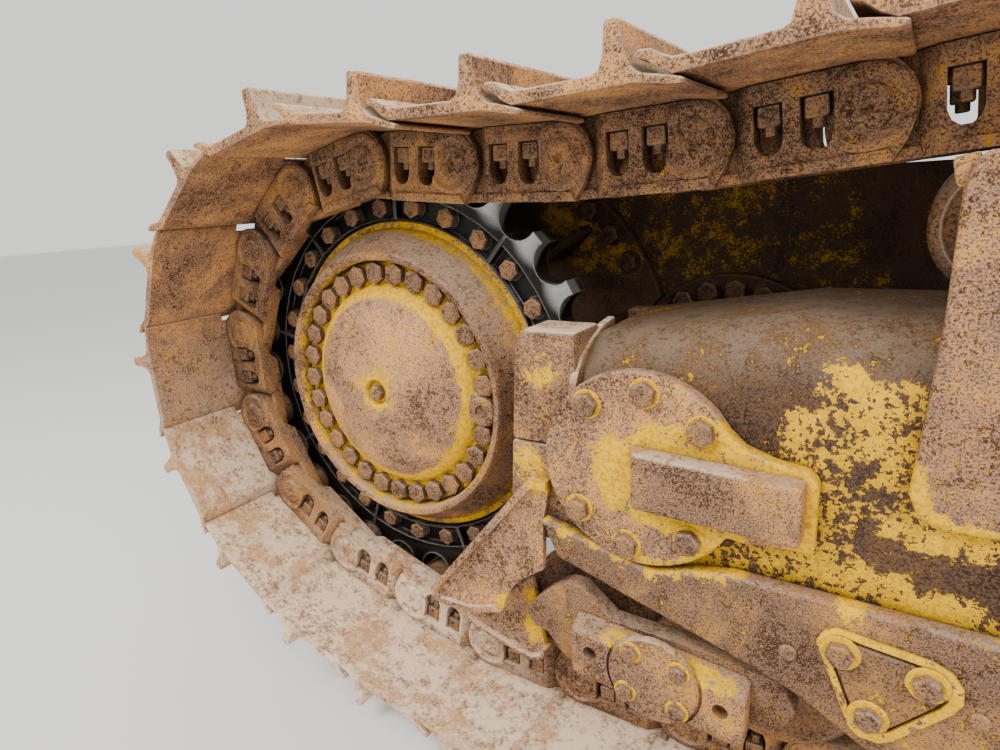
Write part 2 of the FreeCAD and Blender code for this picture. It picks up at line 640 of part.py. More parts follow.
# Roller frame: a box with rounded upper edges, whose top slopes up from the rear
frame = new_body("frame_body")
section = outline(frame, "YZ_Plane", [
    ("0 - track_offset - frame_outer", "0 - frame_bottom"),
    ("0 - track_offset + frame_inner", "0 - frame_bottom"),
    ("0 - track_offset + frame_inner", "frame_top"), ("0 - track_offset - frame_outer", "frame_top")])
section.setExpression("AttachmentOffset.Base.z", "Sizes.frame_rear")
box = frame.newObject("PartDesign::Pad", "frame_box")
box.Profile = section
box.setExpression("Length", bound("frame_front - frame_rear"))
slope = outline(frame, "XZ_Plane", [
    ("frame_rear - 1", "frame_top_rear"), ("frame_rise_end", "frame_top"),
    ("frame_rise_end", "frame_top + 1"), ("frame_rear - 1", "frame_top + 1")])
cut_between(frame, slope, "frame_outer + 1", "frame_outer + frame_inner + 2")
fillet(frame, "frame_round", lambda edge: edge.BoundBox.YLength < 0.01 and edge.BoundBox.ZMin > 0
       and edge.BoundBox.XLength > 10)
drill(frame, "pivot_radius + seat_gap", "frame_outer", "frame_outer + frame_inner",
      "pivot_front", "0 - pivot_drop", BIG_SIDES)

# Cheeks at the frame's tail, beside the sprocket
tail_outer = new_body("tail_cheek_outer")
add_plate(tail_outer, [
    ("tail_rear - 12", "0 - tail_bottom"), ("frame_rear", "0 - tail_bottom"), ("frame_rear", "tail_top"),
    ("tail_rear + 28", "tail_top"), ("tail_rear + 14", "tail_top - 26")],
    "frame_outer - tail_wall", "tail_wall")
tail_inner = new_body("tail_cheek_inner")
add_plate(tail_inner, [
    ("tail_rear + 40", "0 - tail_bottom"), ("frame_rear", "0 - tail_bottom"),
    ("frame_rear", "tail_top - 30"), ("tail_rear + 60", "tail_top - 30")],
    "0 - frame_inner", "0.6 * tail_wall")

# Skirts: the plates that the bogies' pins hang in, scalloped over each bogie's cap
cap_places = ["first_roller + %s * roller_spacing" % (2 * index + 0.5) for index in range(3)]
skirt_edge = [
    ("first_roller - 40", "0 - skirt_top + 18"), ("first_roller + 160", "0 - skirt_top - 28"),
    ("first_roller + 282", "0 - skirt_top"), ("skirt_front", "0 - skirt_top"),
    ("skirt_front", "0 - skirt_bottom + 60"), ("skirt_front - 60", "0 - skirt_bottom")]
for place in reversed(cap_places[1:]):
    skirt_edge += [(place + " + 225", "0 - skirt_bottom"), (place + " + 165", "0 - skirt_scallop - 14"),
                   (place + " + 110", "0 - skirt_scallop"), (place + " - 110", "0 - skirt_scallop"),
                   (place + " - 165", "0 - skirt_scallop - 14"), (place + " - 225", "0 - skirt_bottom")]
skirt_edge += [
    ("first_roller + 475", "0 - skirt_bottom"), ("first_roller + 390", "0 - skirt_scallop - 26"),
    ("first_roller + 245", "0 - skirt_scallop + 21"), ("first_roller - 10", "0 - skirt_scallop + 95")]
outer_skirt = new_body("skirt_outer")
add_plate(outer_skirt, skirt_edge, "frame_outer", "skirt_wall")
inner_skirt = new_body("skirt_inner")
add_plate(inner_skirt, skirt_edge, "0 - frame_inner - skirt_wall", "skirt_wall")

# Guard that keeps stones out from between the track and the frame's tail
guard = new_body("rear_guard")
add_plate(guard, [
    ("first_roller - 61", "0 - skirt_top + 76"), ("guard_rear + 4", "0 - guard_bottom + 140"),
    ("guard_rear", "0 - guard_bottom + 114"), ("guard_rear + 86", "0 - guard_bottom + 114"),
    ("first_roller - 143", "0 - guard_bottom + 140"), ("first_roller - 129", "0 - guard_bottom + 178"),
    ("first_roller - 104", "0 - guard_bottom + 212"), ("first_roller - 70", "0 - guard_bottom + 239"),
    ("first_roller - 49", "0 - guard_bottom + 254"), ("first_roller - 44", "0 - skirt_top + 5"),
    ("first_roller - 40", "0 - skirt_top + 76")], "frame_outer", "guard_wall")
add_plate(guard, [
    ("guard_rear - 12", "0 - guard_bottom + 124"), ("guard_rear - 12", "0 - guard_bottom + 60"),
    ("guard_rear + 55", "0 - guard_bottom + 29"), ("first_roller - 124", "0 - guard_bottom"),
    ("first_roller - 99", "0 - guard_bottom + 10"), ("first_roller - 92", "0 - guard_bottom + 30"),
    ("first_roller - 107", "0 - guard_bottom + 136"), ("first_roller - 114", "0 - guard_bottom + 179"),
    ("first_roller - 140", "0 - guard_bottom + 160")], "guard_inside", "guard_wall")
add_plate(guard, [
    ("guard_rear + 4", "0 - guard_bottom + 132"), ("guard_rear + 4", "0 - guard_bottom + 114"),
    ("guard_rear + 86", "0 - guard_bottom + 114"), ("first_roller - 143", "0 - guard_bottom + 140"),
    ("first_roller - 150", "0 - guard_bottom + 158")], "guard_inside", "frame_outer - guard_inside")

# Track rollers, the minor bogies that carry them in pairs, and the major bogies that swing those
roller_z = "0 - ground_line + rail_depth + roller_radius"
axle_z = value(roller_z)
spacing = size("roller_spacing")
stub = "bogie_face - bogie_plate - seat_gap"
roller_rows = [
    ("axle_radius", stub), ("axle_radius", "roller_half"), ("roller_flange", "roller_half"),
    ("roller_flange", "link_face + 4"), ("roller_radius", "link_face + 4")]
rollers = []
for index in range(int(size("rollers"))):
    rows = [("0", stub)] + roller_rows
    rows += [(radius, "0 - ( " + w + " )") for radius, w in reversed(rows)]
    rollers.append(faceted(rows, ROLLER_SIDES, size("first_roller") + index * spacing, axle_z))
keep("track_rollers", Part.makeCompound(rollers))
pair_steps = [0, 2 * spacing, 4 * spacing]
minor = new_body("one_minor_bogie", "first_roller + roller_spacing / 2", roller_z, kept=False)
bogie_end = "0 - 0.5 * roller_spacing - bogie_rear"
add_plate(minor, [
    (bogie_end + " + 48", "0 - 8"), (bogie_end + " + 22", "0 - 2"), (bogie_end, "24"),
    (bogie_end + " + 29", "60"), (bogie_end + " + 63", "bogie_horn - 18"),
    (bogie_end + " + 95", "bogie_horn"), (bogie_end + " + 123", "bogie_horn")] + shares([
        (-0.27, 0.19), (0.27, 0.176), (0.59, 0.133), (0.657, 0), (0.59, -0.14), (-0.55, -0.155)],
        "roller_spacing"), "bogie_face - bogie_plate", "bogie_plate")
drill(minor, "minor_pin_radius + seat_gap", "bogie_face", "bogie_plate", sides=PIN_SIDES)
copies("minor_bogies", minor, pair_steps, both_sides=True)
swing = new_body("one_swing_arm", "first_roller + roller_spacing / 2", roller_z, kept=False)
swing_face = "bogie_face - bogie_plate - seat_gap"
add_plate(swing, [
    ("0 - 52", "10"), ("40", "127"), ("swing_pin_front", "swing_rise + 56"),
    ("swing_pin_front + 56", "swing_rise"), ("swing_pin_front", "swing_rise - 56"),
    ("160", "59"), ("57", "14"), ("45", "0 - 41"), ("0 - 40", "0 - 41")],
    swing_face + " - swing_arm", "swing_arm")
drill(swing, "minor_pin_radius + seat_gap", swing_face, "swing_arm", sides=PIN_SIDES)
drill(swing, "swing_pin_radius + seat_gap", swing_face, "swing_arm", "swing_pin_front", "swing_rise",
      PIN_SIDES)
copies("major_bogies", swing, pair_steps, both_sides=True)
major_pins = []
for step in pair_steps:
    end = "frame_outer + skirt_wall"
    pin_x = value("first_roller + roller_spacing / 2 + swing_pin_front") + step
    major_pins.append(faceted([
        ("0", "0 - frame_inner - skirt_wall"), ("swing_pin_radius", "0 - frame_inner - skirt_wall"),
        ("swing_pin_radius", end), ("0", end)], PIN_SIDES, pin_x, axle_z + size("swing_rise")))
keep("major_pins", Part.makeCompound(major_pins))
for skirt, top in ((outer_skirt, "frame_outer + skirt_wall"), (inner_skirt, "0 - frame_inner")):
    for step in range(3):
        drill(skirt, "swing_pin_radius + seat_gap", top, "skirt_wall",
              "first_roller + %s * roller_spacing + swing_pin_front" % (2 * step + 0.5),
              roller_z + " + swing_rise", PIN_SIDES)
cap = new_body("one_bogie_pin", "first_roller + roller_spacing / 2", roller_z, kept=False)
add_plate(cap, [
    ("0 - cap_block / 2", "0.5 * cap_block_high + 14"), ("0 - cap_block / 2", "14 - 0.5 * cap_block_high"),
    ("cap_block / 2", "0 - 14 - 0.5 * cap_block_high"), ("cap_block / 2", "0.5 * cap_block_high - 14")],
    "bogie_face", "cap_face - cap_step - bogie_face")
add_plate(cap, corners("cap_radius", ROLLER_SIDES), "bogie_face", "cap_face - bogie_face")
add_plate(cap, corners("minor_pin_radius", PIN_SIDES), swing_face + " - swing_arm",
          "swing_arm + seat_gap + bogie_plate")
copies("bogie_pins", cap, pair_steps, both_sides=True)
lid = new_body("one_pin_cover", "first_roller + roller_spacing / 2 + swing_pin_front",
               roller_z + " + swing_rise", kept=False)
add_plate(lid, shares([
    (-0.225, 0.088), (-0.181, 0.181), (0.188, 0.156), (0.256, 0.075), (0.238, -0.006), (0.05, -0.244),
    (-0.081, -0.238)], "swing_pin_front"), "frame_outer + skirt_wall", "pin_cover")
copies("pin_covers", lid, pair_steps)
hanger = new_body("one_hanger", "first_roller + ( rollers - 1 ) * roller_spacing", roller_z, kept=False)
hanger_top = "ground_line - rail_depth - roller_radius - frame_bottom + 20"
add_plate(hanger, [
    ("0 - 0.43 * roller_radius - 8", hanger_top), *shares([
        (-0.367, -0.25), (-0.217, -0.383), (0.217, -0.383), (0.367, -0.25)], "roller_radius"),
    ("0.43 * roller_radius + 8", hanger_top)],
    "bogie_face - bogie_plate", "frame_outer - bogie_face + bogie_plate")
copies("roller_hangers", hanger, [0], both_sides=True)

# Carrier rollers under the top run, each on a support that is bolted to the frame's outboard wall
carriers, supports = [], []
for step in range(2):
    x = size("carrier_front") + step * size("carrier_spacing")
    carriers.append(faceted([
        ("0", "0 - carrier_half"), ("carrier_radius - 20", "0 - carrier_half"),
        ("carrier_radius", "0 - carrier_half + 12"), ("carrier_radius", "carrier_half - 12"),
        ("carrier_radius - 20", "carrier_half"), ("carrier_shaft", "carrier_half"),
        ("carrier_shaft", "frame_outer"), ("0", "frame_outer")], ROLLER_SIDES, x,
        height_under(x, size("carrier_radius"))))
keep("carrier_rollers", Part.makeCompound(carriers))
support = new_body("one_support", "carrier_front", "0", kept=False)
add_plate(support, [
    ("0 - support_rear", "22"), ("9 - support_rear", "0 - 2"), ("39 - support_rear", "0 - support_foot"),
    ("support_front - 40", "0 - support_foot"), ("support_front", "10"),
    ("support_front - 40", "0.6 * support_top"), ("90", "support_top - 30"), ("60", "support_top"),
    ("26 - support_rear", "support_top"), ("17 - support_rear", "support_top - 42")],
    "frame_outer", "support_wall")
copies("carrier_supports", support, [0, size("carrier_spacing")])

# Idler with its shaft, the sliding blocks and yoke, the recoil housing and the frame's front rails
idler_place = (str(round(idler_x, 2)), str(round(idler_z, 2)))
half_idler = [
    ("idler_rib", "idler_rib_half"), ("idler_radius", "idler_rib_half"), ("idler_radius", "idler_half"),
    ("idler_radius - idler_rim + 8", "idler_half"), ("idler_radius - idler_rim", "idler_web"),
    ("idler_hub + 20", "idler_web"), ("idler_hub", "idler_half + 10"),
    ("idler_shaft + seat_gap", "idler_half + 10")]
other_half = [(radius, "0 - ( " + w + " )") for radius, w in reversed(half_idler)]
keep("idler", faceted(half_idler + other_half, BIG_SIDES, idler_x, idler_z))
keep("idler_shaft", faceted([
    ("0", "0 - frame_outer"), ("idler_shaft", "0 - frame_outer"), ("idler_shaft", "frame_outer"),
    ("0", "frame_outer")], PIN_SIDES, idler_x, idler_z))
block = new_body("one_idler_block", idler_place[0], idler_place[1], kept=False)
add_plate(block, [
    ("0 - block_half", "0 - block_half_high"), ("block_half", "0 - block_half_high"),
    ("block_half", "0.4 * block_half_high"), ("block_half - 36", "block_half_high"),
    ("36 - block_half", "block_half_high"), ("0 - block_half", "0.4 * block_half_high")],
    "rail_inside", "frame_outer - rail_inside")
drill(block, "idler_shaft + seat_gap", "frame_outer", "frame_outer - rail_inside", sides=PIN_SIDES)
copies("idler_blocks", block, [0], both_sides=True)
yoke = new_body("idler_yoke", "0", idler_place[1])
head = [("yoke_rear", "0 - 56"), ("yoke_rear + yoke_crosshead", "0 - 56"),
        ("yoke_rear + yoke_crosshead", "114"), ("yoke_rear", "114")]
add_plate(yoke, head, "0 - yoke_inside - yoke_wall", "2 * yoke_inside + 2 * yoke_wall")
for w_low in ("yoke_inside", "0 - yoke_inside - yoke_wall"):
    add_plate(yoke, [
        ("yoke_rear + 20", "0 - 56"), (idler_place[0], "0 - 66"), (idler_place[0] + " + 52", "0 - 48"),
        (idler_place[0] + " + 68", "0"), (idler_place[0] + " + 52", "48"), (idler_place[0], "66"),
        ("yoke_rear + 220", "100"), ("yoke_rear + 20", "114")], w_low, "yoke_wall")
drill(yoke, "idler_shaft + seat_gap", "yoke_inside + yoke_wall",
      "2 * yoke_inside + 2 * yoke_wall", idler_place[0], "0", PIN_SIDES)
recoil_z = "0 - frame_bottom + recoil_radius"
for label, radius, x_low, long in (
        ("recoil_housing", "recoil_radius", "frame_front", "recoil_front - frame_front"),
        ("adjuster_rod", "rod_radius", "recoil_front", "yoke_rear - recoil_front")):
    barrel = new_body(label, "0", recoil_z)
    circle = outline(barrel, "YZ_Plane", corners(radius, BARREL_SIDES, "0 - track_offset"))
    circle.setExpression("AttachmentOffset.Base.z", bound(x_low))
    pad = barrel.newObject("PartDesign::Pad", label + "_pad")
    pad.Profile = circle
    pad.setExpression("Length", bound(long))
rail = new_body("one_front_rail", "0", "0", kept=False)
slide = idler_place[1] + " - block_half_high"
add_plate(rail, [
    ("frame_front", "0 - frame_bottom + 20"), (idler_place[0] + " - 420", "0 - frame_bottom + 20"),
    (idler_place[0] + " - 330", slide + " - rail_low"),
    (idler_place[0] + " + rail_end", slide + " - rail_low"), (idler_place[0] + " + rail_end", slide),
    (idler_place[0] + " - 190", slide),
    (idler_place[0] + " - 230", "40"), ("frame_front + 420", "60"), ("frame_front", "rail_top")],
    "rail_inside", "frame_outer - rail_inside")
copies("frame_rails", rail, [0], both_sides=True)

# Seat on the frame's inboard wall, on which the end of the tractor's equalizer bar rests
seat = new_body("equalizer_seat", "0", "0")
seat_outline = outline(seat, "YZ_Plane", [
    ("frame_inner - track_offset", "0 - 0.5 * seat_high"),
    ("0 - member_web - seat_clearance", "0.5 * seat_high - 50"),
    ("0 - member_web - seat_clearance", "0.5 * seat_high"),
    ("frame_inner - track_offset", "0.5 * seat_high")])
seat_outline.setExpression("AttachmentOffset.Base.z", "Sizes.seat_rear")
seat_pad = seat.newObject("PartDesign::Pad", "seat_pad")
seat_pad.Profile = seat_outline
seat_pad.setExpression("Length", "Sizes.seat_long")

doc.recompute()
for item in doc.Objects:
    if "Invalid" in item.State or "Error" in item.State:
        raise RuntimeError("A form failed: " + item.Name)
for item in SUBPARTS:
    if item.Shape.isNull() or not item.Shape.isValid():
        raise RuntimeError("A piece has no sound shape: " + item.Label)
os.makedirs("parts", exist_ok=True)
for item in SUBPARTS:
    item.Shape.exportStep("parts/%s.step" % item.Label)
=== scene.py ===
import math

import bpy
from bpy.props import FloatProperty, FloatVectorProperty, IntProperty, PointerProperty
from mathutils import Matrix, Vector


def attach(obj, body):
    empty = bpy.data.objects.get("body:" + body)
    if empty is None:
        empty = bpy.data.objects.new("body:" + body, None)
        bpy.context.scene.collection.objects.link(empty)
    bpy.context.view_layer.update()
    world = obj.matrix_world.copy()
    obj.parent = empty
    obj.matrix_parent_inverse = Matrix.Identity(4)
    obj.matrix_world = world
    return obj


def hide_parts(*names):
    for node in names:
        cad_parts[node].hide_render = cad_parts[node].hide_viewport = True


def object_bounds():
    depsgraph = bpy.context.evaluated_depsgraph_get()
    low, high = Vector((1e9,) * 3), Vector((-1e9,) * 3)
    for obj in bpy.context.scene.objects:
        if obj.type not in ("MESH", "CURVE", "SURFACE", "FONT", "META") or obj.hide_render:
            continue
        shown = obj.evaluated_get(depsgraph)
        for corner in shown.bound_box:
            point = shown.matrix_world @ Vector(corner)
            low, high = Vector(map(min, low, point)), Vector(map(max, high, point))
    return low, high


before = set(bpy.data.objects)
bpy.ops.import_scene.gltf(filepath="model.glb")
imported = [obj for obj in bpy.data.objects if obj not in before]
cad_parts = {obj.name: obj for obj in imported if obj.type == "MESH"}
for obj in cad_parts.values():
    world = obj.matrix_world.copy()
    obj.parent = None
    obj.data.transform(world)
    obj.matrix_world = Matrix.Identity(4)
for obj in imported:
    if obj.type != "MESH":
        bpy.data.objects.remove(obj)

bl_info = {
    "name": "Crawler Track Unit",
    "version": (1, 0, 0),
    "blender": (4, 5, 0),
    "location": "3D View > Sidebar > Track Unit",
    "description": "Dresses the track unit of a bulldozer: worn pieces, bolts, rust and old paint",
    "category": "Object",
}

# The frame's millimetres: X forward, w outboard from the track's middle, Z up
MM = 0.001
MIDDLE = 382.0
BODY = "root"
CAD_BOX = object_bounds()

PITCH = 228.6
LINKS = 42
SHOE_HALF = 330.0
GROUND_LINE = 581.0
RAIL_DEPTH = 72.0
PIN_CIRCLE = 495.6
TEETH = 27
SEGMENTS = 9
FIRST_PIN_ANGLE = 88.0
LOWER_RUN_SLOPE = 13.6
IDLER_TREAD = 360.0
CARRIER_PLACES = (1106.0, 2206.0)
CARRIER_TREAD = 96.0
CARRIER_HEIGHT = 352.0
TOP_SAGS = (26.0, 24.0, 38.0)
LEAVING_SAG = 14.0
IDLER_TOP_ANGLE = 84.0
PATH_STEPS = 90
AXLE_HEIGHT = -389.0
ROLLER_PLACES = [530.0 + 330.0 * index for index in range(7)]
BOGIE_PLACES = [695.0 + 660.0 * index for index in range(3)]
PIVOT = (665.0, -15.0)
WALL_FACE = -342.0


class TrackUnitSizes(bpy.types.PropertyGroup):
    """Sizes of the dressing that a user may change."""
    shoe_edge: FloatProperty(
        name="Shoe edge", description="Rounding of a worn shoe's edges",
        default=0.005, min=0.001, max=0.01, unit="LENGTH")
    cast_edge: FloatProperty(
        name="Cast edge", description="Rounding of the frame's cast edges",
        default=0.006, min=0.001, max=0.02, unit="LENGTH")
    rim_bolt: FloatProperty(
        name="Rim bolt", description="Width across the flats of the hub cover's bolts",
        default=0.044, min=0.02, max=0.05, unit="LENGTH")
    cover_bolt: FloatProperty(
        name="Cover bolt", description="Width across the flats of the pivot cover's bolts",
        default=0.036, min=0.02, max=0.05, unit="LENGTH")
    turned_sides: IntProperty(
        name="Turned sides", description="Flats round a large turned piece",
        default=96, min=24, max=192)


class TrackUnitColours(bpy.types.PropertyGroup):
    """Colours of the finishes, linear."""
    # Dark rust is also laid into the crevices by ambient occlusion, where it is partly painted shade
    rust_dark: FloatVectorProperty(
        name="Dark rust", description="Deep rust in pits and crevices", subtype="COLOR",
        size=3, min=0, max=1, default=(0.028, 0.014, 0.008))
    rust: FloatVectorProperty(
        name="Rust", description="Rust over most of the steel", subtype="COLOR",
        size=3, min=0, max=1, default=(0.185, 0.104, 0.066))
    rust_light: FloatVectorProperty(
        name="Light rust", description="Dusty rust where the steel is worn", subtype="COLOR",
        size=3, min=0, max=1, default=(0.49, 0.235, 0.082))
    paint: FloatVectorProperty(
        name="Paint", description="Old yellow paint", subtype="COLOR",
        size=3, min=0, max=1, default=(0.80, 0.43, 0.0))
    dust: FloatVectorProperty(
        name="Dust", description="Dry clay dust", subtype="COLOR",
        size=3, min=0, max=1, default=(0.76, 0.56, 0.38))
    steel: FloatVectorProperty(
        name="Steel", description="Bare worn steel", subtype="COLOR",
        size=3, min=0, max=1, default=(0.42, 0.42, 0.40))
    floor: FloatVectorProperty(
        name="Floor", description="Plain studio floor", subtype="COLOR",
        size=3, min=0, max=1, default=(0.72, 0.72, 0.71))


def at(x, w, z):
    """A place in metres from its side place and its distance outboard from the track's middle."""
    return Vector((x * MM, -(MIDDLE + w) * MM, z * MM))


# The track's path, as in the part's source: pins one pitch apart round a closed loop
def loop_points(idler_x):
    """Close points along the pin line: over the sprocket's rear, the ground, the idler, the top."""
    half_pitch = PITCH / 2
    idler_z = IDLER_TREAD + RAIL_DEPTH - GROUND_LINE
    idler_pins = math.hypot(IDLER_TREAD + RAIL_DEPTH, half_pitch)
    carrier_pins = CARRIER_HEIGHT + CARRIER_TREAD + RAIL_DEPTH
    slope = math.radians(LOWER_RUN_SLOPE)
    start = math.radians(FIRST_PIN_ANGLE)
    end = 1.5 * math.pi - slope
    points = []
    for step in range(4 * PATH_STEPS + 1):
        angle = start + (end - start) * step / (4 * PATH_STEPS)
        points.append((PIN_CIRCLE * math.cos(angle), PIN_CIRCLE * math.sin(angle)))
    left_x, left_z = points[-1]
    touch = left_x + (GROUND_LINE + left_z) / math.tan(slope)
    for step in range(1, PATH_STEPS + 1):
        share = step / PATH_STEPS
        sag = LEAVING_SAG * math.sin(math.pi * share)
        points.append((left_x + (touch - left_x) * share,
                       left_z - (GROUND_LINE + left_z) * share - sag))
    lifted = idler_x + half_pitch
    for step in range(1, 4 * PATH_STEPS + 1):
        points.append((touch + (lifted - touch) * step / (4 * PATH_STEPS), -GROUND_LINE))
    turn_start = -math.acos(half_pitch / idler_pins)
    turn_end = math.radians(IDLER_TOP_ANGLE)
    for step in range(1, 3 * PATH_STEPS + 1):
        angle = turn_start + (turn_end - turn_start) * step / (3 * PATH_STEPS)
        points.append((idler_x + idler_pins * math.cos(angle), idler_z + idler_pins * math.sin(angle)))
    first, second = CARRIER_PLACES
    held = [points[-1], (second, carrier_pins), (first, carrier_pins), points[0]]
    for (x0, z0), (x1, z1), sag in zip(held, held[1:], TOP_SAGS):
        for step in range(1, 2 * PATH_STEPS + 1):
            share = step / (2 * PATH_STEPS)
            points.append((x0 + (x1 - x0) * share,
                           z0 + (z1 - z0) * share - 4 * sag * share * (1 - share)))
    return points


def walk(points):
    """Pins one pitch apart along the points, and the length that is left over or missing."""
    pins = [points[0]]
    place = 0
    while len(pins) <= LINKS and place < len(points) - 1:
        if math.dist(points[place + 1], pins[-1]) < PITCH:
            place += 1
            continue
        (ax, az), (bx, bz) = points[place], points[place + 1]
        low, high = 0.0, 1.0
        for _ in range(40):
            middle = (low + high) / 2
            reach = math.dist((ax + (bx - ax) * middle, az + (bz - az) * middle), pins[-1])
            low, high = (middle, high) if reach < PITCH else (low, middle)
        pins.append((ax + (bx - ax) * high, az + (bz - az) * high))
    if len(pins) <= LINKS:
        return pins, -PITCH * (LINKS + 1 - len(pins))
    return pins, math.dist(pins[-1], points[-1])


def closed_track():
    """The idler's place that closes the track on its last link, and the pins."""
    low, high = CARRIER_PLACES[1], 2.2 * LINKS * PITCH / 4
    for _ in range(60):
        middle = (low + high) / 2
        if walk(loop_points(middle))[1] < 0:
            low = middle
        else:
            high = middle
    return high, walk(loop_points(high))[0][:-1]


IDLER_X, PINS = closed_track()
IDLER_Z = IDLER_TREAD + RAIL_DEPTH - GROUND_LINE
RING = list(reversed(PINS))
LINK_PLACES = [(x0, 0.0, z0, math.degrees(math.atan2(z1 - z0, x1 - x0)))
               for (x0, z0), (x1, z1) in zip(RING, RING[1:] + RING[:1])]


def height_under(x, radius):
    """The axle height at which a roller at x just touches the rail of the run over it."""
    heights = []
    for (x0, z0), (x1, z1) in zip(PINS, PINS[1:] + PINS[:1]):
        if z0 < 0 or abs((x0 + x1) / 2 - x) > PITCH:
            continue
        along, up = (x0 - x1) / PITCH, (z0 - z1) / PITCH
        heights.append(z0 - ((x0 - x) * up + RAIL_DEPTH + radius) / along)
    return min(heights)


# Modelling steps
def clear():
    """Leaves edit mode and deselects everything."""
    if bpy.context.mode != "OBJECT":
        bpy.ops.object.mode_set(mode="OBJECT")
    bpy.ops.object.select_all(action="DESELECT")


def pick(*pieces):
    """Selects the pieces, the first one active."""
    clear()
    for piece in pieces:
        piece.select_set(True)
    bpy.context.view_layer.objects.active = pieces[0]


def named(piece, name):
    """Names a piece and its mesh."""
    piece.name = name
    piece.data.name = name
    return piece


def seated(piece):
    """Puts a piece's place, turn and scale into its mesh."""
    pick(piece)
    bpy.ops.object.transform_apply(location=True, rotation=True, scale=True)
    return piece


def choose(piece, test, kind="FACE"):
    """Selects in edit mode the faces, edges or corners whose middle and direction pass the test."""
    pick(piece)
    bpy.ops.object.mode_set(mode="EDIT")
    bpy.ops.mesh.select_mode(type=kind)
    bpy.ops.mesh.select_all(action="DESELECT")
    bpy.ops.object.mode_set(mode="OBJECT")
    mesh = piece.data
    if kind == "FACE":
        for face in mesh.polygons:
            face.select = test(face.center, face.normal)
    elif kind == "EDGE":
        for edge in mesh.edges:
            low, high = (mesh.vertices[index].co for index in edge.vertices)
            edge.select = test((low + high) / 2, (high - low).normalized())
    else:
        for corner in mesh.vertices:
            corner.select = test(corner.co, corner.normal)
    bpy.ops.object.mode_set(mode="EDIT")


def made_sound(threshold=0.00002):
    """Merges doubles, turns all faces outwards and goes back to object mode."""
    bpy.ops.mesh.select_all(action="SELECT")
    bpy.ops.mesh.remove_doubles(threshold=threshold)
    bpy.ops.mesh.normals_make_consistent(inside=False)
    bpy.ops.object.mode_set(mode="OBJECT")


def traced(name, points):
    """A chain of edges, extruded corner by corner from the first point; left in edit mode."""
    clear()
    bpy.ops.mesh.primitive_plane_add(size=0.01, location=points[0])
    piece = named(bpy.context.object, name)
    bpy.ops.object.transform_apply(location=True, rotation=False, scale=False)
    bpy.ops.object.mode_set(mode="EDIT")
    bpy.ops.mesh.select_mode(type="VERT")
    bpy.ops.mesh.select_all(action="SELECT")
    bpy.ops.mesh.merge(type="CENTER")
    for low, high in zip(points, points[1:]):
        bpy.ops.mesh.extrude_vertices_move(TRANSFORM_OT_translate={"value": high - low})
    bpy.ops.mesh.select_all(action="SELECT")
    return piece


def plate(name, side, w_low, w_high):
    """A plate across the track: its side outline traced, filled and extruded outboard."""
    piece = traced(name, [at(x, w_low, z) for x, z in side])
    bpy.ops.mesh.edge_face_add()
    bpy.ops.mesh.extrude_region_move(
        TRANSFORM_OT_translate={"value": (0, (w_low - w_high) * MM, 0)})
    made_sound()
    return piece


def bar(name, section, x_low, x_high):
    """A bar along the track: its section traced in (w, z), filled and extruded forward."""
    piece = traced(name, [at(x_low, w, z) for w, z in section])
    bpy.ops.mesh.edge_face_add()
    bpy.ops.mesh.extrude_region_move(
        TRANSFORM_OT_translate={"value": ((x_high - x_low) * MM, 0, 0)})
    made_sound()
    return piece


def turned(name, rows, sides, x=0.0, z=0.0):
    """A turned piece: its half outline traced in (radius, w) and spun about its axis."""
    piece = traced(name, [at(x + radius, w, z) for radius, w in rows])
    bpy.ops.mesh.spin(steps=sides, angle=2 * math.pi, center=at(x, 0, z), axis=(0, 1, 0))
    made_sound()
    return piece


def soften(piece, width, segments=2, angle=35.0, smooth=38.0):
    """Rounds a piece's sharp edges and shades it smooth between them; the width is in mm."""
    pick(piece)
    bpy.ops.object.modifier_add(type="BEVEL")
    bevel = piece.modifiers[-1]
    bevel.width = width * MM
    bevel.segments = segments
    bevel.limit_method = "ANGLE"
    bevel.angle_limit = math.radians(angle)
    bpy.ops.object.modifier_apply(modifier=bevel.name)
    bpy.ops.object.shade_smooth_by_angle(angle=math.radians(smooth))
    return piece


def smooth_over(piece, angle=38.0):
    """Shades a piece smooth except at its sharper edges."""
    pick(piece)
    bpy.ops.object.shade_smooth_by_angle(angle=math.radians(angle))
    return piece


def worked(piece, tool, operation):
    """Cuts a tool's form out of a piece, or joins it on, and takes the tool away."""
    pick(piece)
    bpy.ops.object.modifier_add(type="BOOLEAN")
    modifier = piece.modifiers[-1]
    modifier.operation = operation
    modifier.solver = "EXACT"
    modifier.object = tool
    bpy.ops.object.modifier_apply(modifier=modifier.name)
    bpy.data.objects.remove(tool, do_unlink=True)
    return piece


def bored(piece, *tools):
    """Cuts each tool's form out of the piece."""
    for tool in tools:
        worked(piece, tool, "DIFFERENCE")
    return piece


def fused(piece, *others):
    """Joins the others onto the piece as one closed form."""
    for other in others:
        worked(piece, other, "UNION")
    return piece


def joined(name, *pieces):
    """Puts several pieces into one mesh."""
    pick(*pieces)
    if len(pieces) > 1:
        bpy.ops.object.join()
    return named(bpy.context.object, name)


def copies(piece, name, places):
    """Copies of a piece, each with its own mesh: (x, w, z, turn in degrees from X towards Z)."""
    twins = []
    for x, w, z, turn in places:
        pick(piece)
        bpy.ops.object.duplicate()
        twin = bpy.context.object
        twin.location = (x * MM, -w * MM, z * MM)
        twin.rotation_euler = (0, -math.radians(turn), 0)
        twins.append(twin)
    bpy.data.objects.remove(piece, do_unlink=True)
    pick(*twins)
    bpy.ops.object.transform_apply(location=True, rotation=True, scale=True)
    return joined(name, *twins)


def other_side(piece, name):
    """A copy of a piece mirrored about the track's middle, its faces turned outwards again."""
    pick(piece)
    bpy.ops.object.duplicate()
    twin = named(bpy.context.object, name)
    twin.scale = (1, -1, 1)
    twin.location = (0, -2 * MIDDLE * MM, 0)
    seated(twin)
    bpy.ops.object.mode_set(mode="EDIT")
    made_sound()
    return twin


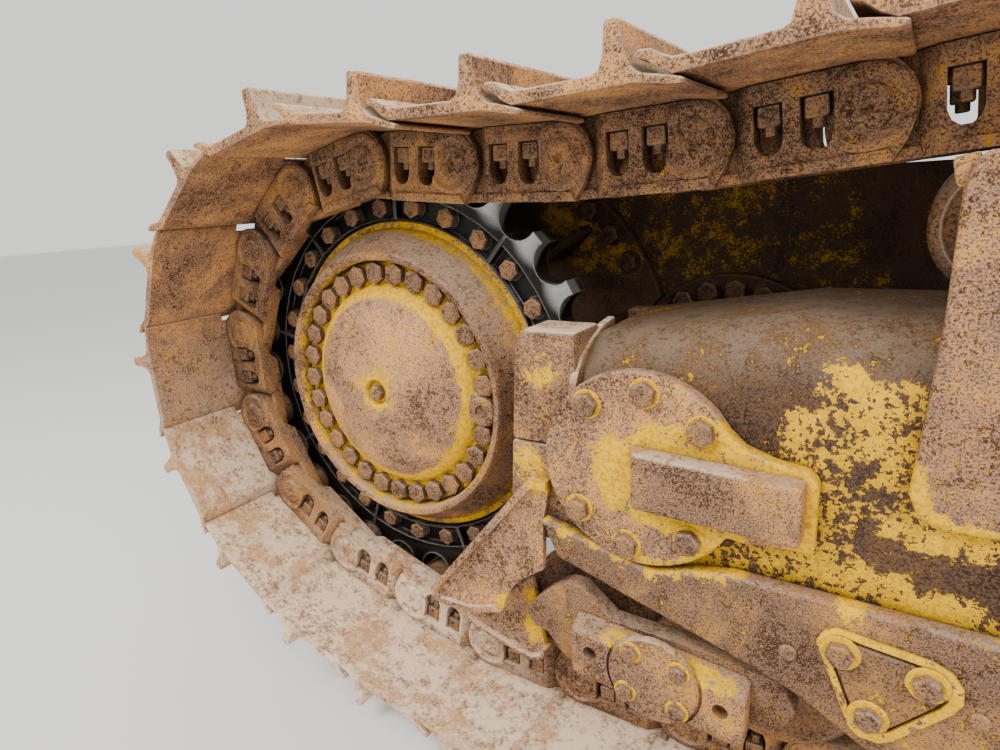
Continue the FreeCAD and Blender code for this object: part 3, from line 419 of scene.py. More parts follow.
def both_sides(piece, name):
    """A piece and its mirror image in one mesh."""
    return joined(name, piece, other_side(piece, name + "_other"))


def circle(radius, sides, x=0.0, z=0.0, start=0.0, end=360.0):
    """Points round a circle or an arc of it, from one angle to the other."""
    full = abs(end - start) >= 360
    count = sides if full else sides + 1
    points = []
    for step in range(count):
        angle = math.radians(start + (end - start) * step / sides)
        points.append((x + radius * math.cos(angle), z + radius * math.sin(angle)))
    return points


def on_circle(radius, angles, x=0.0, w=0.0, z=0.0):
    """Places for copies on a circle, by their angles in degrees."""
    return [(x + radius * math.cos(math.radians(angle)), w, z + radius * math.sin(math.radians(angle)),
             angle) for angle in angles]


def hex_bolt(name, flats, height, collar=0.0, collar_height=4.0, sides=18):
    """A hexagon head that stands outboard on w = 0 with a chamfered top, on a round collar."""
    corner = flats / 2 / math.cos(math.radians(30))
    head = plate(name, circle(corner, 6), 0.0, height)
    choose(head, lambda middle, normal: normal.y < -0.9)
    bpy.ops.mesh.inset(thickness=0.10 * flats * MM, depth=0.0)
    bpy.ops.transform.translate(value=(0, -0.07 * flats * MM, 0))
    made_sound()
    if collar:
        ring = turned(name + "_collar", [(0, 0), (collar, 0), (collar, collar_height * 0.6),
                                         (collar - collar_height * 0.5, collar_height), (0, collar_height)],
                      sides)
        head = joined(name, head, ring)
    return smooth_over(head, 30)


def bolted(name, slot, node, places, flats, height, seat, seat_height, head="bolt_steel", below="seat_paint"):
    """Hexagon heads at the places, each on a round seat with its own finish."""
    bolt = hex_bolt(name, flats, height)
    bolt.location = (0, -seat_height * MM, 0)
    heads = copies(seated(bolt), name, places)
    finished(heads, finish(head), slot, node)
    disc = smooth_over(turned(name + "_seat", [
        (0, 0), (seat, 0), (seat, seat_height * 0.5), (seat - 1.5, seat_height), (0, seat_height)], 20), 30)
    finished(copies(disc, name + "_seats", places), finish(below), slot, node)


def dressed(node, name, width, material, slot, smooth=38.0):
    """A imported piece's own form with its doubles merged and its edges rounded, in its place."""
    pick(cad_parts[node])
    bpy.ops.object.duplicate()
    piece = named(bpy.context.object, name)
    bpy.ops.object.mode_set(mode="EDIT")
    bpy.ops.mesh.select_all(action="SELECT")
    bpy.ops.mesh.remove_doubles(threshold=0.00002)
    bpy.ops.mesh.dissolve_limited(angle_limit=math.radians(1.0))
    bpy.ops.object.mode_set(mode="OBJECT")
    soften(piece, width, 2, 30, smooth)
    return finished(piece, material, slot, node)


def barrel(name, rows, sides, z):
    """A turned piece along the track: its half outline traced in (x, radius) and spun."""
    piece = traced(name, [at(x, 0, z + radius) for x, radius in rows])
    bpy.ops.mesh.spin(steps=sides, angle=2 * math.pi, center=at(0, 0, z), axis=(1, 0, 0))
    made_sound()
    return smooth_over(piece, 38)


# Finishes
def knot(tree, kind, joins=None, **settings):
    """A shader node with its settings, its inputs given a value or joined to another's output."""
    made = tree.nodes.new(kind)
    for name, value in settings.items():
        setattr(made, name, value)
    for name, value in (joins or {}).items():
        socket = made.inputs[name]
        if isinstance(value, bpy.types.NodeSocket):
            tree.links.new(value, socket)
        else:
            socket.default_value = value
    return made


def worked_out(tree, operation, first, second=0.0, third=0.0, clamp=False):
    """The output of a math node."""
    return knot(tree, "ShaderNodeMath", {0: first, 1: second, 2: third},
                operation=operation, use_clamp=clamp).outputs[0]


def stepped(tree, value, low, high):
    """A value eased from 0 at the low mark to 1 at the high one."""
    return knot(tree, "ShaderNodeMapRange", {"Value": value, "From Min": low, "From Max": high},
                interpolation_type="SMOOTHSTEP").outputs["Result"]


def blended(tree, share, first, second, kind="MIX"):
    """Two colours mixed by a share from 0 to 1."""
    mixer = knot(tree, "ShaderNodeMix", {0: share, 6: first, 7: second}, data_type="RGBA", blend_type=kind)
    return mixer.outputs[2]


def noise(tree, where, scale, detail, roughness=0.6, distortion=0.0):
    """A noise pattern's value over the place given."""
    return knot(tree, "ShaderNodeTexNoise", {
        "Vector": where, "Scale": scale, "Detail": detail, "Roughness": roughness,
        "Distortion": distortion}).outputs["Fac"]


def group_of(name, inputs, outputs):
    """An empty node group with its named inputs and outputs."""
    group = bpy.data.node_groups.new(name, "ShaderNodeTree")
    for label, kind, default in inputs:
        socket = group.interface.new_socket(name=label, in_out="INPUT", socket_type=kind)
        socket.default_value = default
    for label, kind in outputs:
        group.interface.new_socket(name=label, in_out="OUTPUT", socket_type=kind)
    return group, group.nodes.new("NodeGroupInput").outputs, group.nodes.new("NodeGroupOutput").inputs


def wear_group():
    """Where a surface is worn, dirty or pitted, and where ambient occlusion finds its crevices for painted shade:
    values for the finishes to use.
    """
    group, given, out = group_of("Wear", [
        ("Patch Scale", "NodeSocketFloat", 7.0), ("Grain Scale", "NodeSocketFloat", 120.0),
        ("Edge Reach", "NodeSocketFloat", 0.006)],
        [(label, "NodeSocketFloat") for label in
         ("Patches", "Blotches", "Grain", "Specks", "Edges", "Crevice Shade", "Upward")])
    where = knot(group, "ShaderNodeTexCoord").outputs["Object"]
    join = group.links.new
    join(noise(group, where, given["Patch Scale"], 5.0, 0.62, 0.4), out["Patches"])
    shifted = knot(group, "ShaderNodeMapping", {"Vector": where, "Location": (3.1, 1.7, 5.3)}).outputs[0]
    blotch_scale = worked_out(group, "MULTIPLY", given["Patch Scale"], 4.5)
    join(noise(group, shifted, blotch_scale, 5.0, 0.7), out["Blotches"])
    grain = noise(group, where, given["Grain Scale"], 4.0, 0.7)
    join(grain, out["Grain"])
    speck_scale = worked_out(group, "MULTIPLY", given["Grain Scale"], 3.0)
    join(noise(group, shifted, speck_scale, 2.0, 0.6), out["Specks"])
    surface = knot(group, "ShaderNodeNewGeometry").outputs["Normal"]
    rounded = knot(group, "ShaderNodeBevel", {"Radius": given["Edge Reach"]}, samples=4).outputs[0]
    apart = knot(group, "ShaderNodeVectorMath", {0: surface, 1: rounded}, operation="DOT_PRODUCT")
    edges = worked_out(group, "SUBTRACT", 1.0, apart.outputs["Value"])
    ragged = worked_out(group, "MULTIPLY", edges, worked_out(group, "MULTIPLY_ADD", grain, 14.0, 2.0))
    join(worked_out(group, "MINIMUM", ragged, 1.0), out["Edges"])
    # Crevice Shade: one minus ambient occlusion, a mask for painted shade in the crevices
    hollow = knot(group, "ShaderNodeAmbientOcclusion", {"Distance": 0.05}, samples=4).outputs["AO"]
    join(worked_out(group, "SUBTRACT", 1.0, hollow, clamp=True), out["Crevice Shade"])
    upright = knot(group, "ShaderNodeSeparateXYZ", {0: surface}).outputs["Z"]
    join(worked_out(group, "MAXIMUM", upright, 0.0), out["Upward"])
    return group


def rust_group():
    """The colour of rusted steel, from dark pits to dusty light rust."""
    group, given, out = group_of("Rust", [
        ("Dark", "NodeSocketColor", (0, 0, 0, 1)), ("Middle", "NodeSocketColor", (0, 0, 0, 1)),
        ("Light", "NodeSocketColor", (0, 0, 0, 1)), ("Patches", "NodeSocketFloat", 0.5),
        ("Blotches", "NodeSocketFloat", 0.5), ("Grain", "NodeSocketFloat", 0.5),
        ("Specks", "NodeSocketFloat", 0.5)], [("Colour", "NodeSocketColor")])
    broad = worked_out(group, "MULTIPLY_ADD", given["Blotches"], 0.5,
                       worked_out(group, "MULTIPLY", given["Patches"], 0.8))
    broad = worked_out(group, "MULTIPLY_ADD", given["Grain"], 0.5, broad)
    lighter = stepped(group, broad, 0.83, 1.04)
    colour = blended(group, lighter, given["Middle"], given["Light"])
    speckled = worked_out(group, "MULTIPLY_ADD", given["Patches"], -0.7, given["Grain"])
    speckled = worked_out(group, "MULTIPLY_ADD", given["Blotches"], 0.6, speckled)
    darker = stepped(group, speckled, 0.47, 0.58)
    colour = blended(group, worked_out(group, "MULTIPLY", darker, 0.9), colour, given["Dark"])
    fresh = stepped(group, given["Specks"], 0.47, 0.42)
    colour = blended(group, worked_out(group, "MULTIPLY", fresh, 0.55), colour, given["Light"])
    pits = stepped(group, given["Specks"], 0.54, 0.60)
    colour = blended(group, worked_out(group, "MULTIPLY", pits, 0.75), colour, given["Dark"])
    group.links.new(colour, out["Colour"])
    return group


def remains_group():
    """Where old paint is left: ragged patches, more of them in the regions given."""
    group, given, out = group_of("Paint Remains", [
        ("Amount", "NodeSocketFloat", 0.0), ("Regions", "NodeSocketFloat", 0.0),
        ("Patches", "NodeSocketFloat", 0.5), ("Blotches", "NodeSocketFloat", 0.5),
        ("Grain", "NodeSocketFloat", 0.5)], [("Mask", "NodeSocketFloat")])
    ragged = worked_out(group, "MULTIPLY_ADD", given["Patches"], 0.6, given["Blotches"])
    ragged = worked_out(group, "MULTIPLY_ADD", given["Grain"], 1.4, ragged)
    ragged = worked_out(group, "MULTIPLY_ADD", ragged, 0.8, -0.70)
    ragged = worked_out(group, "MULTIPLY_ADD", given["Regions"], 0.6, ragged)
    level = worked_out(group, "ADD", ragged, given["Amount"])
    group.links.new(stepped(group, level, 0.690, 0.710), out["Mask"])
    return group


def regions_value(tree, regions):
    """How far a place lies inside the regions given: each a middle (x, w, z) and a reach, in mm, and
    how many times longer it is along the track, where it isn't round."""
    where = knot(tree, "ShaderNodeTexCoord").outputs["Object"]
    total = None
    for x, w, z, reach, *longer in regions:
        size = 1.0 / (reach * MM)
        scale = Vector((size / (longer or [1.0])[0], size, size))
        moved = knot(tree, "ShaderNodeMapping", {
            "Vector": where, "Scale": scale, "Location": -at(x, w, z) * scale}).outputs[0]
        ball = knot(tree, "ShaderNodeTexGradient", {"Vector": moved}, gradient_type="SPHERICAL").outputs["Fac"]
        total = ball if total is None else worked_out(tree, "ADD", total, ball)
    return 0.0 if total is None else total


def rings_value(tree, rings):
    """Whether a place lies between two radii: each ring a middle (x, z) and its radii, in mm."""
    where = knot(tree, "ShaderNodeTexCoord").outputs["Object"]
    total = 0.0
    for x, z, low, high in rings:
        moved = knot(tree, "ShaderNodeMapping", {
            "Vector": where, "Scale": (1, 0, 1), "Location": (-x * MM, 0, -z * MM)}).outputs[0]
        radius = knot(tree, "ShaderNodeVectorMath", {0: moved}, operation="LENGTH").outputs["Value"]
        inside = worked_out(tree, "MULTIPLY", stepped(tree, radius, (low - 14) * MM, (low + 14) * MM),
                            stepped(tree, radius, (high + 8) * MM, (high - 8) * MM))
        total = worked_out(tree, "MULTIPLY_ADD", inside, 1.3, total)
    return total


# name, tints over the dark, middle and light rust, paint left, bare edges, dust on top, roughness,
# coarseness of the bump, patch scale, and the regions that differ
FINISHES = {
    "shoe_steel": dict(tint=(1.2, 1.1, 1.15), paint=-0.50, edge=0.35, dust=0.8, rough=0.82, bump=0.6,
                       patch=7.0, settle=0.5, dusty=((-100, 200, -700, 1000),)),
    "link_steel": dict(tint=(0.9, 0.95, 0.85), paint=-0.03, edge=0.15, dust=0.25, rough=0.78, bump=0.8,
                       patch=9.0, dusty=((0, 150, -640, 440),)),
    "pin_steel": dict(tint=(0.8, 0.8, 0.6), paint=-0.50, edge=0.40, dust=0.2, rough=0.62, bump=0.3,
                      patch=14.0),
    "tooth_paint": dict(tint=(0.08, 0.04, 0.02), paint=-0.50, edge=0.30, dust=0.05, rough=0.38, bump=0.25,
                        patch=9.0, plain=True),
    "hub_steel": dict(tint=(1.0, 1.15, 0.95), paint=-0.03, edge=0.20, dust=0.32, rough=0.74, bump=0.5,
                      patch=7.0),
    "dome_steel": dict(tint=(1.4, 1.5, 1.25), paint=-0.04, edge=0.15, dust=0.32, rough=0.66, bump=0.4,
                       patch=6.0),
    "plug_steel": dict(tint=(1.2, 1.2, 1.0), paint=0.06, edge=0.20, dust=0.30, rough=0.66, bump=0.4,
                       patch=12.0),
    "bolt_steel": dict(tint=(1.0, 0.9, 0.7), paint=-0.14, edge=0.30, dust=0.20, rough=0.62, bump=0.5,
                       patch=18.0),
    "seat_paint": dict(tint=(0.9, 0.9, 0.7), paint=0.34, edge=0.10, dust=0.10, rough=0.55, bump=0.25,
                       patch=10.0),
    "frame_paint": dict(tint=(1.1, 1.0, 0.95), paint=-0.02, edge=0.18, dust=0.2, rough=0.72, bump=0.5,
                        patch=6.0),
    "barrel_paint": dict(tint=(0.7, 0.36, 0.3), paint=0.0, edge=0.12, dust=0.16, rough=0.70, bump=0.5,
                         patch=5.0),
    # The wall's tints are partly its own dark paint and partly painted light, raised for light its shadowed recess
    # lacks; its paint is dimmed to 0.8 as painted shade
    "wall_paint": dict(tint=(0.8, 0.42, 0.2), grain=230.0, shade=0.8,
                       paint=-0.05, edge=0.15, dust=0.08, rough=0.66, bump=0.4,
                       patch=7.0),
    "wall_steel": dict(tint=(0.8, 0.5, 0.35), paint=-0.10, edge=0.35, dust=0.10, rough=0.6, bump=0.4,
                       patch=14.0),
    "under_steel": dict(tint=(0.8, 0.85, 0.65), paint=-0.02, edge=0.20, dust=0.2, rough=0.76, bump=0.6,
                        patch=8.0),
    "bogie_steel": dict(tint=(0.9, 0.9, 0.75), paint=0.0, edge=0.20, dust=0.25, rough=0.76, bump=0.7,
                        patch=9.0),
    "tread_steel": dict(tint=(0.8, 0.75, 0.6), paint=-0.50, edge=0.60, dust=0.20, rough=0.48, bump=0.25,
                        patch=9.0),
    "fresh_paint": dict(tint=(1.0, 1.0, 0.8), paint=0.30, edge=0.10, dust=0.15, rough=0.55, bump=0.35,
                        patch=8.0),
}
GROUPS = {}
MADE = {}


def tinted(colour, share):
    """A colour as four numbers, lightened or darkened by a share."""
    return tuple(min(1.0, part * share) for part in colour) + (1.0,)


def finish(key, name=None, **changes):
    """The material of a finish, built once; changes give it other numbers under its own name."""
    name = name or key
    if name in MADE:
        return MADE[name]
    recipe = dict(FINISHES[key])
    recipe.update(changes)
    colours = bpy.context.scene.track_unit_colours
    material = bpy.data.materials.new(name)
    material.use_nodes = True
    tree = material.node_tree
    shader = [made for made in tree.nodes if made.type == "BSDF_PRINCIPLED"][0]
    join = tree.links.new

    wear = knot(tree, "ShaderNodeGroup", node_tree=GROUPS["wear"])
    wear.inputs["Patch Scale"].default_value = recipe["patch"]
    wear.inputs["Grain Scale"].default_value = recipe.get("grain", 120.0)
    wear.inputs["Edge Reach"].default_value = recipe.get("reach", 0.006)
    worn = wear.outputs
    dark, middle, light = recipe["tint"]
    rust = knot(tree, "ShaderNodeGroup", node_tree=GROUPS["rust"])
    rust.inputs["Dark"].default_value = tinted(colours.rust_dark, dark)
    rust.inputs["Middle"].default_value = tinted(colours.rust, middle)
    rust.inputs["Light"].default_value = tinted(colours.rust_light, light)
    for label in ("Patches", "Blotches", "Grain", "Specks"):
        join(worn[label], rust.inputs[label])
    colour = rust.outputs["Colour"]

    remains = knot(tree, "ShaderNodeGroup", node_tree=GROUPS["remains"])
    remains.inputs["Amount"].default_value = recipe["paint"]
    for label in ("Patches", "Blotches", "Grain"):
        join(worn[label], remains.inputs[label])
    marked = regions_value(tree, recipe.get("yellow", ()))
    if recipe.get("ring"):
        marked = worked_out(tree, "ADD", marked, rings_value(tree, recipe["ring"]))
    if isinstance(marked, bpy.types.NodeSocket):
        marked = worked_out(tree, "MINIMUM", marked, recipe.get("full", 0.8))
        join(marked, remains.inputs["Regions"])
    painted = remains.outputs["Mask"]
    bare = worked_out(tree, "MULTIPLY", worn["Edges"], recipe["edge"])
    if recipe.get("shining"):
        bare = worked_out(tree, "MULTIPLY_ADD", regions_value(tree, recipe["shining"]), 1.4, bare)
    bare = stepped(tree, bare, 0.10, 0.42)
    worn_colour = tinted(colours.steel, 0.75)
    if not recipe.get("plain"):
        worn_colour = blended(tree, worn["Blotches"], tinted(colours.steel, 0.6),
                              tinted(colours.rust_light, 0.9))
    colour = blended(tree, bare, colour, worn_colour)

    lying = worked_out(tree, "MULTIPLY", stepped(tree, worn["Upward"], 0.12, recipe.get("settle", 0.85)),
                       recipe["dust"])
    if recipe.get("dusty"):
        lying = worked_out(tree, "MULTIPLY_ADD", regions_value(tree, recipe["dusty"]), 1.2, lying)
    uneven = worked_out(tree, "MULTIPLY_ADD", worn["Grain"], 0.8, worn["Blotches"])
    uneven = stepped(tree, worked_out(tree, "ADD", uneven, worn["Patches"]), 1.28, 1.58)
    settled = worked_out(tree, "MULTIPLY", worked_out(tree, "MINIMUM", lying, 0.95),
                         worked_out(tree, "MULTIPLY_ADD", uneven, -0.8, 1.0))
    colour = blended(tree, settled, colour, tinted(colours.dust, 1.0))

    # A share below 1 dims the paint as painted shade, as on the shadowed wall
    shade = recipe.get("shade", 1.0)
    soiled = blended(tree, stepped(tree, worn["Grain"], 0.42, 0.64), tinted(colours.paint, shade),
                     tinted(colours.paint, 0.6 * shade))
    soiled = blended(tree, worked_out(tree, "MULTIPLY", settled, 0.08), soiled, tinted(colours.dust, 1.0))
    colour = blended(tree, painted, colour, soiled)

    # Dark rust laid into the crevices by ambient occlusion: partly dirt, partly painted shade
    dirt_and_crevice_shade = worked_out(tree, "MULTIPLY", stepped(tree, worn["Crevice Shade"], 0.35, 0.95), 0.75)
    colour = blended(tree, dirt_and_crevice_shade, colour, tinted(colours.rust_dark, 0.8 * min(1.0, dark)))
    join(colour, shader.inputs["Base Color"])

    rough = worked_out(tree, "MULTIPLY_ADD", worn["Grain"], 0.25, recipe["rough"] - 0.12)
    rough = worked_out(tree, "MULTIPLY_ADD", bare, -0.22, rough)
    join(worked_out(tree, "MINIMUM", rough, 1.0), shader.inputs["Roughness"])
    join(worked_out(tree, "MULTIPLY", bare, 0.55), shader.inputs["Metallic"])
    shader.inputs["Specular IOR Level"].default_value = 0.22
    raised = worked_out(tree, "MULTIPLY_ADD", worn["Grain"], 0.7, worked_out(tree, "MULTIPLY", painted, 0.25))
    raised = worked_out(tree, "MULTIPLY_ADD", worn["Blotches"], 1.1, raised)
    raised = worked_out(tree, "MULTIPLY_ADD", worn["Specks"], 0.25, raised)
    bump = knot(tree, "ShaderNodeBump", {"Height": raised, "Strength": recipe["bump"], "Distance": 0.004})
    join(bump.outputs["Normal"], shader.inputs["Normal"])
    MADE[name] = material
    return material


def finished(piece, material, slot, *nodes):
    """Gives a piece its finish and its place on the body, and hides the nodes it stands for; the slot is not used."""
    piece.data.materials.clear()
    piece.data.materials.append(material)
    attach(piece, BODY)
    if nodes:
        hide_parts(*nodes)
    return piece


# Pieces
class TRACKUNIT_OT_stage(bpy.types.Operator):
    """Makes the camera at the photograph's angle, the pale floor and the soft studio light"""
    bl_idname = "track_unit.stage"
    bl_label = "Stage"

    def execute(self, context):
        clear()
        yaw, pitch, roll = -0.590, -0.267, -0.058
        ahead = Vector((math.sin(yaw) * math.cos(pitch), math.cos(yaw) * math.cos(pitch), math.sin(pitch)))
        right = Vector((math.cos(yaw), -math.sin(yaw), 0.0))
        up = right.cross(ahead)
        rolled_right = math.cos(roll) * right + math.sin(roll) * up
        rolled_up = math.cos(roll) * up - math.sin(roll) * right
        camera_data = bpy.data.cameras.new("photo_camera")
        camera_data.lens = 23.4
        camera_data.sensor_width = 36.0
        camera = bpy.data.objects.new("photo_camera", camera_data)
        context.scene.collection.objects.link(camera)
        turn = Matrix((rolled_right, rolled_up, -ahead)).transposed()
        camera.matrix_world = Matrix.Translation((1.0175, -1.5255, 0.4101)) @ turn.to_4x4()
        context.scene.camera = camera

        bpy.ops.mesh.primitive_plane_add(size=60.0, location=(1.4, -0.4, CAD_BOX[0].z))
        floor = named(bpy.context.object, "studio_floor")
        seated(floor)
        plain = bpy.data.materials.new("studio_floor")
        plain.use_nodes = True
        surface = plain.node_tree.nodes["Principled BSDF"]
        surface.inputs["Base Color"].default_value = (*context.scene.track_unit_colours.floor, 1.0)
        surface.inputs["Roughness"].default_value = 0.8
        floor.data.materials.append(plain)

        world = bpy.data.worlds.new("studio")
        world.use_nodes = True
        sky = world.node_tree.nodes["Background"]
        sky.inputs["Color"].default_value = (1.0, 0.99, 0.97, 1.0)
        sky.inputs["Strength"].default_value = 1.15
        context.scene.world = world
        for name, place, aim, size, power in (
                ("key_light", (-1.6, -4.2, 4.0), (0.5, -0.4, 0.0), 3.0, 330.0),
                ("front_light", (4.6, -4.0, 3.2), (0.8, -0.4, 0.0), 3.0, 220.0)):
            lamp = bpy.data.lights.new(name, "AREA")
            lamp.shape = "DISK"
            lamp.size = size
            lamp.energy = power
            light = bpy.data.objects.new(name, lamp)
            context.scene.collection.objects.link(light)
            light.location = place
            light.rotation_mode = "QUATERNION"
            light.rotation_quaternion = (Vector(aim) - Vector(place)).to_track_quat("-Z", "Y")
        return {"FINISHED"}


class TRACKUNIT_OT_shoes(bpy.types.Operator):
    """Lays the track's shoes round the loop, each with its nose over the tail of the one behind"""
    bl_idname = "track_unit.shoes"
    bl_label = "Track shoes"

    def execute(self, context):
        profile = [
            (-1, 90), (1, 95), (8, 96), (20, 94), (32, 86), (46, 79), (70, 78), (165, 78), (175, 83),
            (181, 100), (184, 135), (188, 139), (202, 138), (206, 133), (210, 98), (216, 80), (228, 71),
            (250, 66), (270, 61), (281, 58), (284, 54), (281, 50), (268, 51), (250, 55), (218, 60),
            (60, 60), (44, 60), (28, 69), (14, 82), (4, 86)]
        shoe = plate("shoe", profile, -SHOE_HALF, SHOE_HALF)
        bored(shoe, plate("notch", [(262, 0), (300, 0), (300, 90), (262, 90)], -126, 126))
        soften(shoe, 1000 * context.scene.track_unit_sizes.shoe_edge * 0.6, 2, 32)
        shoes = copies(shoe, "track_shoes", LINK_PLACES)
        finished(shoes, finish("shoe_steel"), "rusty_steel", "track")
        head = hex_bolt("shoe_bolt", 30.0, 14.0)
        head.rotation_euler = (-math.pi / 2, 0, 0)
        head.location = (0.0, -MIDDLE * MM, (78.0 + MIDDLE) * MM - MIDDLE * MM)
        pick(head)
        bpy.ops.object.origin_set(type="ORIGIN_GEOMETRY")
        head.location = at(0, 0, 84)
        seated(head)
        four = copies(head, "shoe_bolts", [(u, w, 0.0, 0.0) for u in (106, 158) for w in (-92, 92)])
        heads = copies(four, "shoe_bolts", LINK_PLACES)
        finished(heads, finish("bolt_steel"), "rusty_steel", "track")
        return {"FINISHED"}


class TRACKUNIT_OT_links(bpy.types.Operator):
    """Makes the offset links with their windows, the nuts in them, and the pins with bushings"""
    bl_idname = "track_unit.links"
    bl_label = "Track links, nuts and pins"

    def execute(self, context):
        side = [(46, 58), (32, 50), (10, 56), (-16, 54), (-38, 38), (-52, 10), (-54, -20), (-46, -72),
                (256, -72), (274, -46), (284, -20), (288, 6), (280, 32), (266, 50), (258, 58)]
        link = plate("link", side, 69, 113)
        inside = [(150, 66), (172, 91.5), (360, 91.5), (360, 60), (150, 60)]
        outside = [(-70, 92.5), (56, 92.5), (80, 114), (80, 130), (-70, 130)]
        for top_view in (inside, outside):
            tool = traced("offset_tool", [Vector((u * MM, -(MIDDLE + w) * MM, -0.12)) for u, w in top_view])
            bpy.ops.mesh.edge_face_add()
            bpy.ops.mesh.extrude_region_move(TRANSFORM_OT_translate={"value": (0, 0, 0.24)})
            made_sound()
            bored(link, tool)
        boss = turned("boss", [
            (0, 100), (58, 100), (60, 110), (56, 117), (47, 119), (43, 115), (33, 114), (30, 118), (24, 120),
            (9, 119), (7, 114), (0, 114)], 28, PITCH, 0)
        fused(link, boss, plate("rear_strip", [(-44, -72), (62, -72), (58, -57), (-40, -57)], 86, 98),
              plate("front_strip", [(84, -72), (262, -72), (252, -56), (88, -57)], 106, 119))
        first = [(86, 30), (125, 30), (125, -20), (121, -33), (112, -40), (100, -40), (91, -33), (86, -20)]
        second = [(147, 31), (190, 31), (190, -18), (186, -33), (176, -41), (161, -41), (151, -34), (147, -20)]
        bored(link, plate("window", first, 60, 130), plate("window", second, 60, 130))
        soften(link, 3.0, 2, 38)
        pair = both_sides(link, "link")
        links = copies(pair, "track_links", LINK_PLACES)
        finished(links, finish("link_steel"), "rusty_steel", "track")

        nut = plate("nut", [(-16, 0), (16, 0), (16, 29), (-16, 29)], 76, 108)
        soften(nut, 2.5, 1)
        clear()
        bpy.ops.mesh.primitive_cylinder_add(vertices=10, radius=0.010, depth=0.012, location=at(0, 92, -6))
        end = seated(bpy.context.object)
        choose(end, lambda middle, normal: normal.z < -0.9)
        bpy.ops.mesh.inset(thickness=0.002, depth=0.0)
        bpy.ops.transform.translate(value=(0, 0, -0.0015))
        made_sound()
        nut = joined("nut", nut, end)
        nuts = both_sides(copies(nut, "nuts", [(106, 0, 0, 0), (168, 0, 1, 0)]), "nuts")
        nuts = copies(nuts, "link_nuts", LINK_PLACES)
        finished(nuts, finish("bolt_steel"), "rusty_steel", "track")

        pin = turned("pin", [(0, -113), (7, -113), (8, -109), (20, -111), (25, -108), (25, -66), (40, -68),
                             (40, 68), (25, 66), (25, 108), (20, 111), (8, 109), (7, 113), (0, 113)], 24)
        smooth_over(pin, 40)
        pins = copies(pin, "track_pins", [(x, 0.0, z, 0.0) for x, z in PINS])
        finished(pins, finish("pin_steel"), "rusty_steel", "track")
        return {"FINISHED"}


class TRACKUNIT_OT_sprocket(bpy.types.Operator):
    """Makes the nine bolted tooth segments of the sprocket with their raised outlines"""
    bl_idname = "track_unit.sprocket"
    bl_label = "Sprocket segments"

    def execute(self, context):
        step = 2 * math.pi / TEETH
        gap, slack, across_gap = 43.6, 1.5, (0, 16, 32, 48, 64, 80, 94)
        start = math.radians(FIRST_PIN_ANGLE)

        def gap_point(middle, turn):
            reach, across = PIN_CIRCLE - gap * math.cos(turn), gap * math.sin(turn)
            return (reach * math.cos(middle) - across * math.sin(middle),
                    reach * math.sin(middle) + across * math.cos(middle))

        teeth = []
        for tooth in range(TEETH // SEGMENTS):
            low, high = start + tooth * step, start + (tooth + 1) * step
            flank = [math.radians(angle) for angle in across_gap]
            teeth += [gap_point(low, max(turn, slack / gap if tooth == 0 else 0)) for turn in flank[tooth > 0:]]
            teeth += [gap_point(high, -turn) for turn in reversed(flank)]
        inner = [(376 * math.cos(start + share * 3 * step), 376 * math.sin(start + share * 3 * step))
                 for share in (0.995, 0.8, 0.6, 0.4, 0.2, 0.005)]
        segment = plate("segment", teeth + inner, -30, 27)
        choose(segment, lambda middle, normal: normal.y < -0.9)
        bpy.ops.mesh.inset(thickness=0.007, depth=0.0)
        bpy.ops.transform.translate(value=(0, 0.004, 0))
        made_sound()
        land = [(radius * math.cos(start + share * 3 * step), radius * math.sin(start + share * 3 * step))
                for radius, shares in ((428, (0.02, 0.2, 0.4, 0.6, 0.8, 0.98)), (377, (0.98, 0.8, 0.6, 0.4, 0.2, 0.02)))
                for share in shares]
        bored(segment, plate("land", land, 4, 60))
        soften(segment, 1.8, 1, 40)
        segments = copies(segment, "sprocket_teeth", [(0, 0, 0, 40.0 * index) for index in range(SEGMENTS)])
        angles = [FIRST_PIN_ANGLE + 360.0 * (index + 0.5) / TEETH for index in range(TEETH)]
        shining = [(508 * math.cos(math.radians(angle)), 75, 508 * math.sin(math.radians(angle)), 98)
                   for angle in angles if angle % 360 < 82]
        finished(segments, finish("tooth_paint", shining=shining), "black_steel", "sprocket_segments")
        bolted("sprocket_bolts", "black_steel", "sprocket_segments", on_circle(402, angles, 0, 4, 0),
               38.0, 17.0, 25.0, 4.0, below="tooth_paint")
        return {"FINISHED"}


RIM_BOLTS = 29
FIRST_RIM_BOLT = 93.7
PLUG_PLACE = 21


def on_ring(index, radius):
    """The side place of one of the hub cover's bolts, or of a point on its spoke."""
    angle = math.radians(FIRST_RIM_BOLT + 360.0 * index / RIM_BOLTS)
    return radius * math.cos(angle), radius * math.sin(angle)


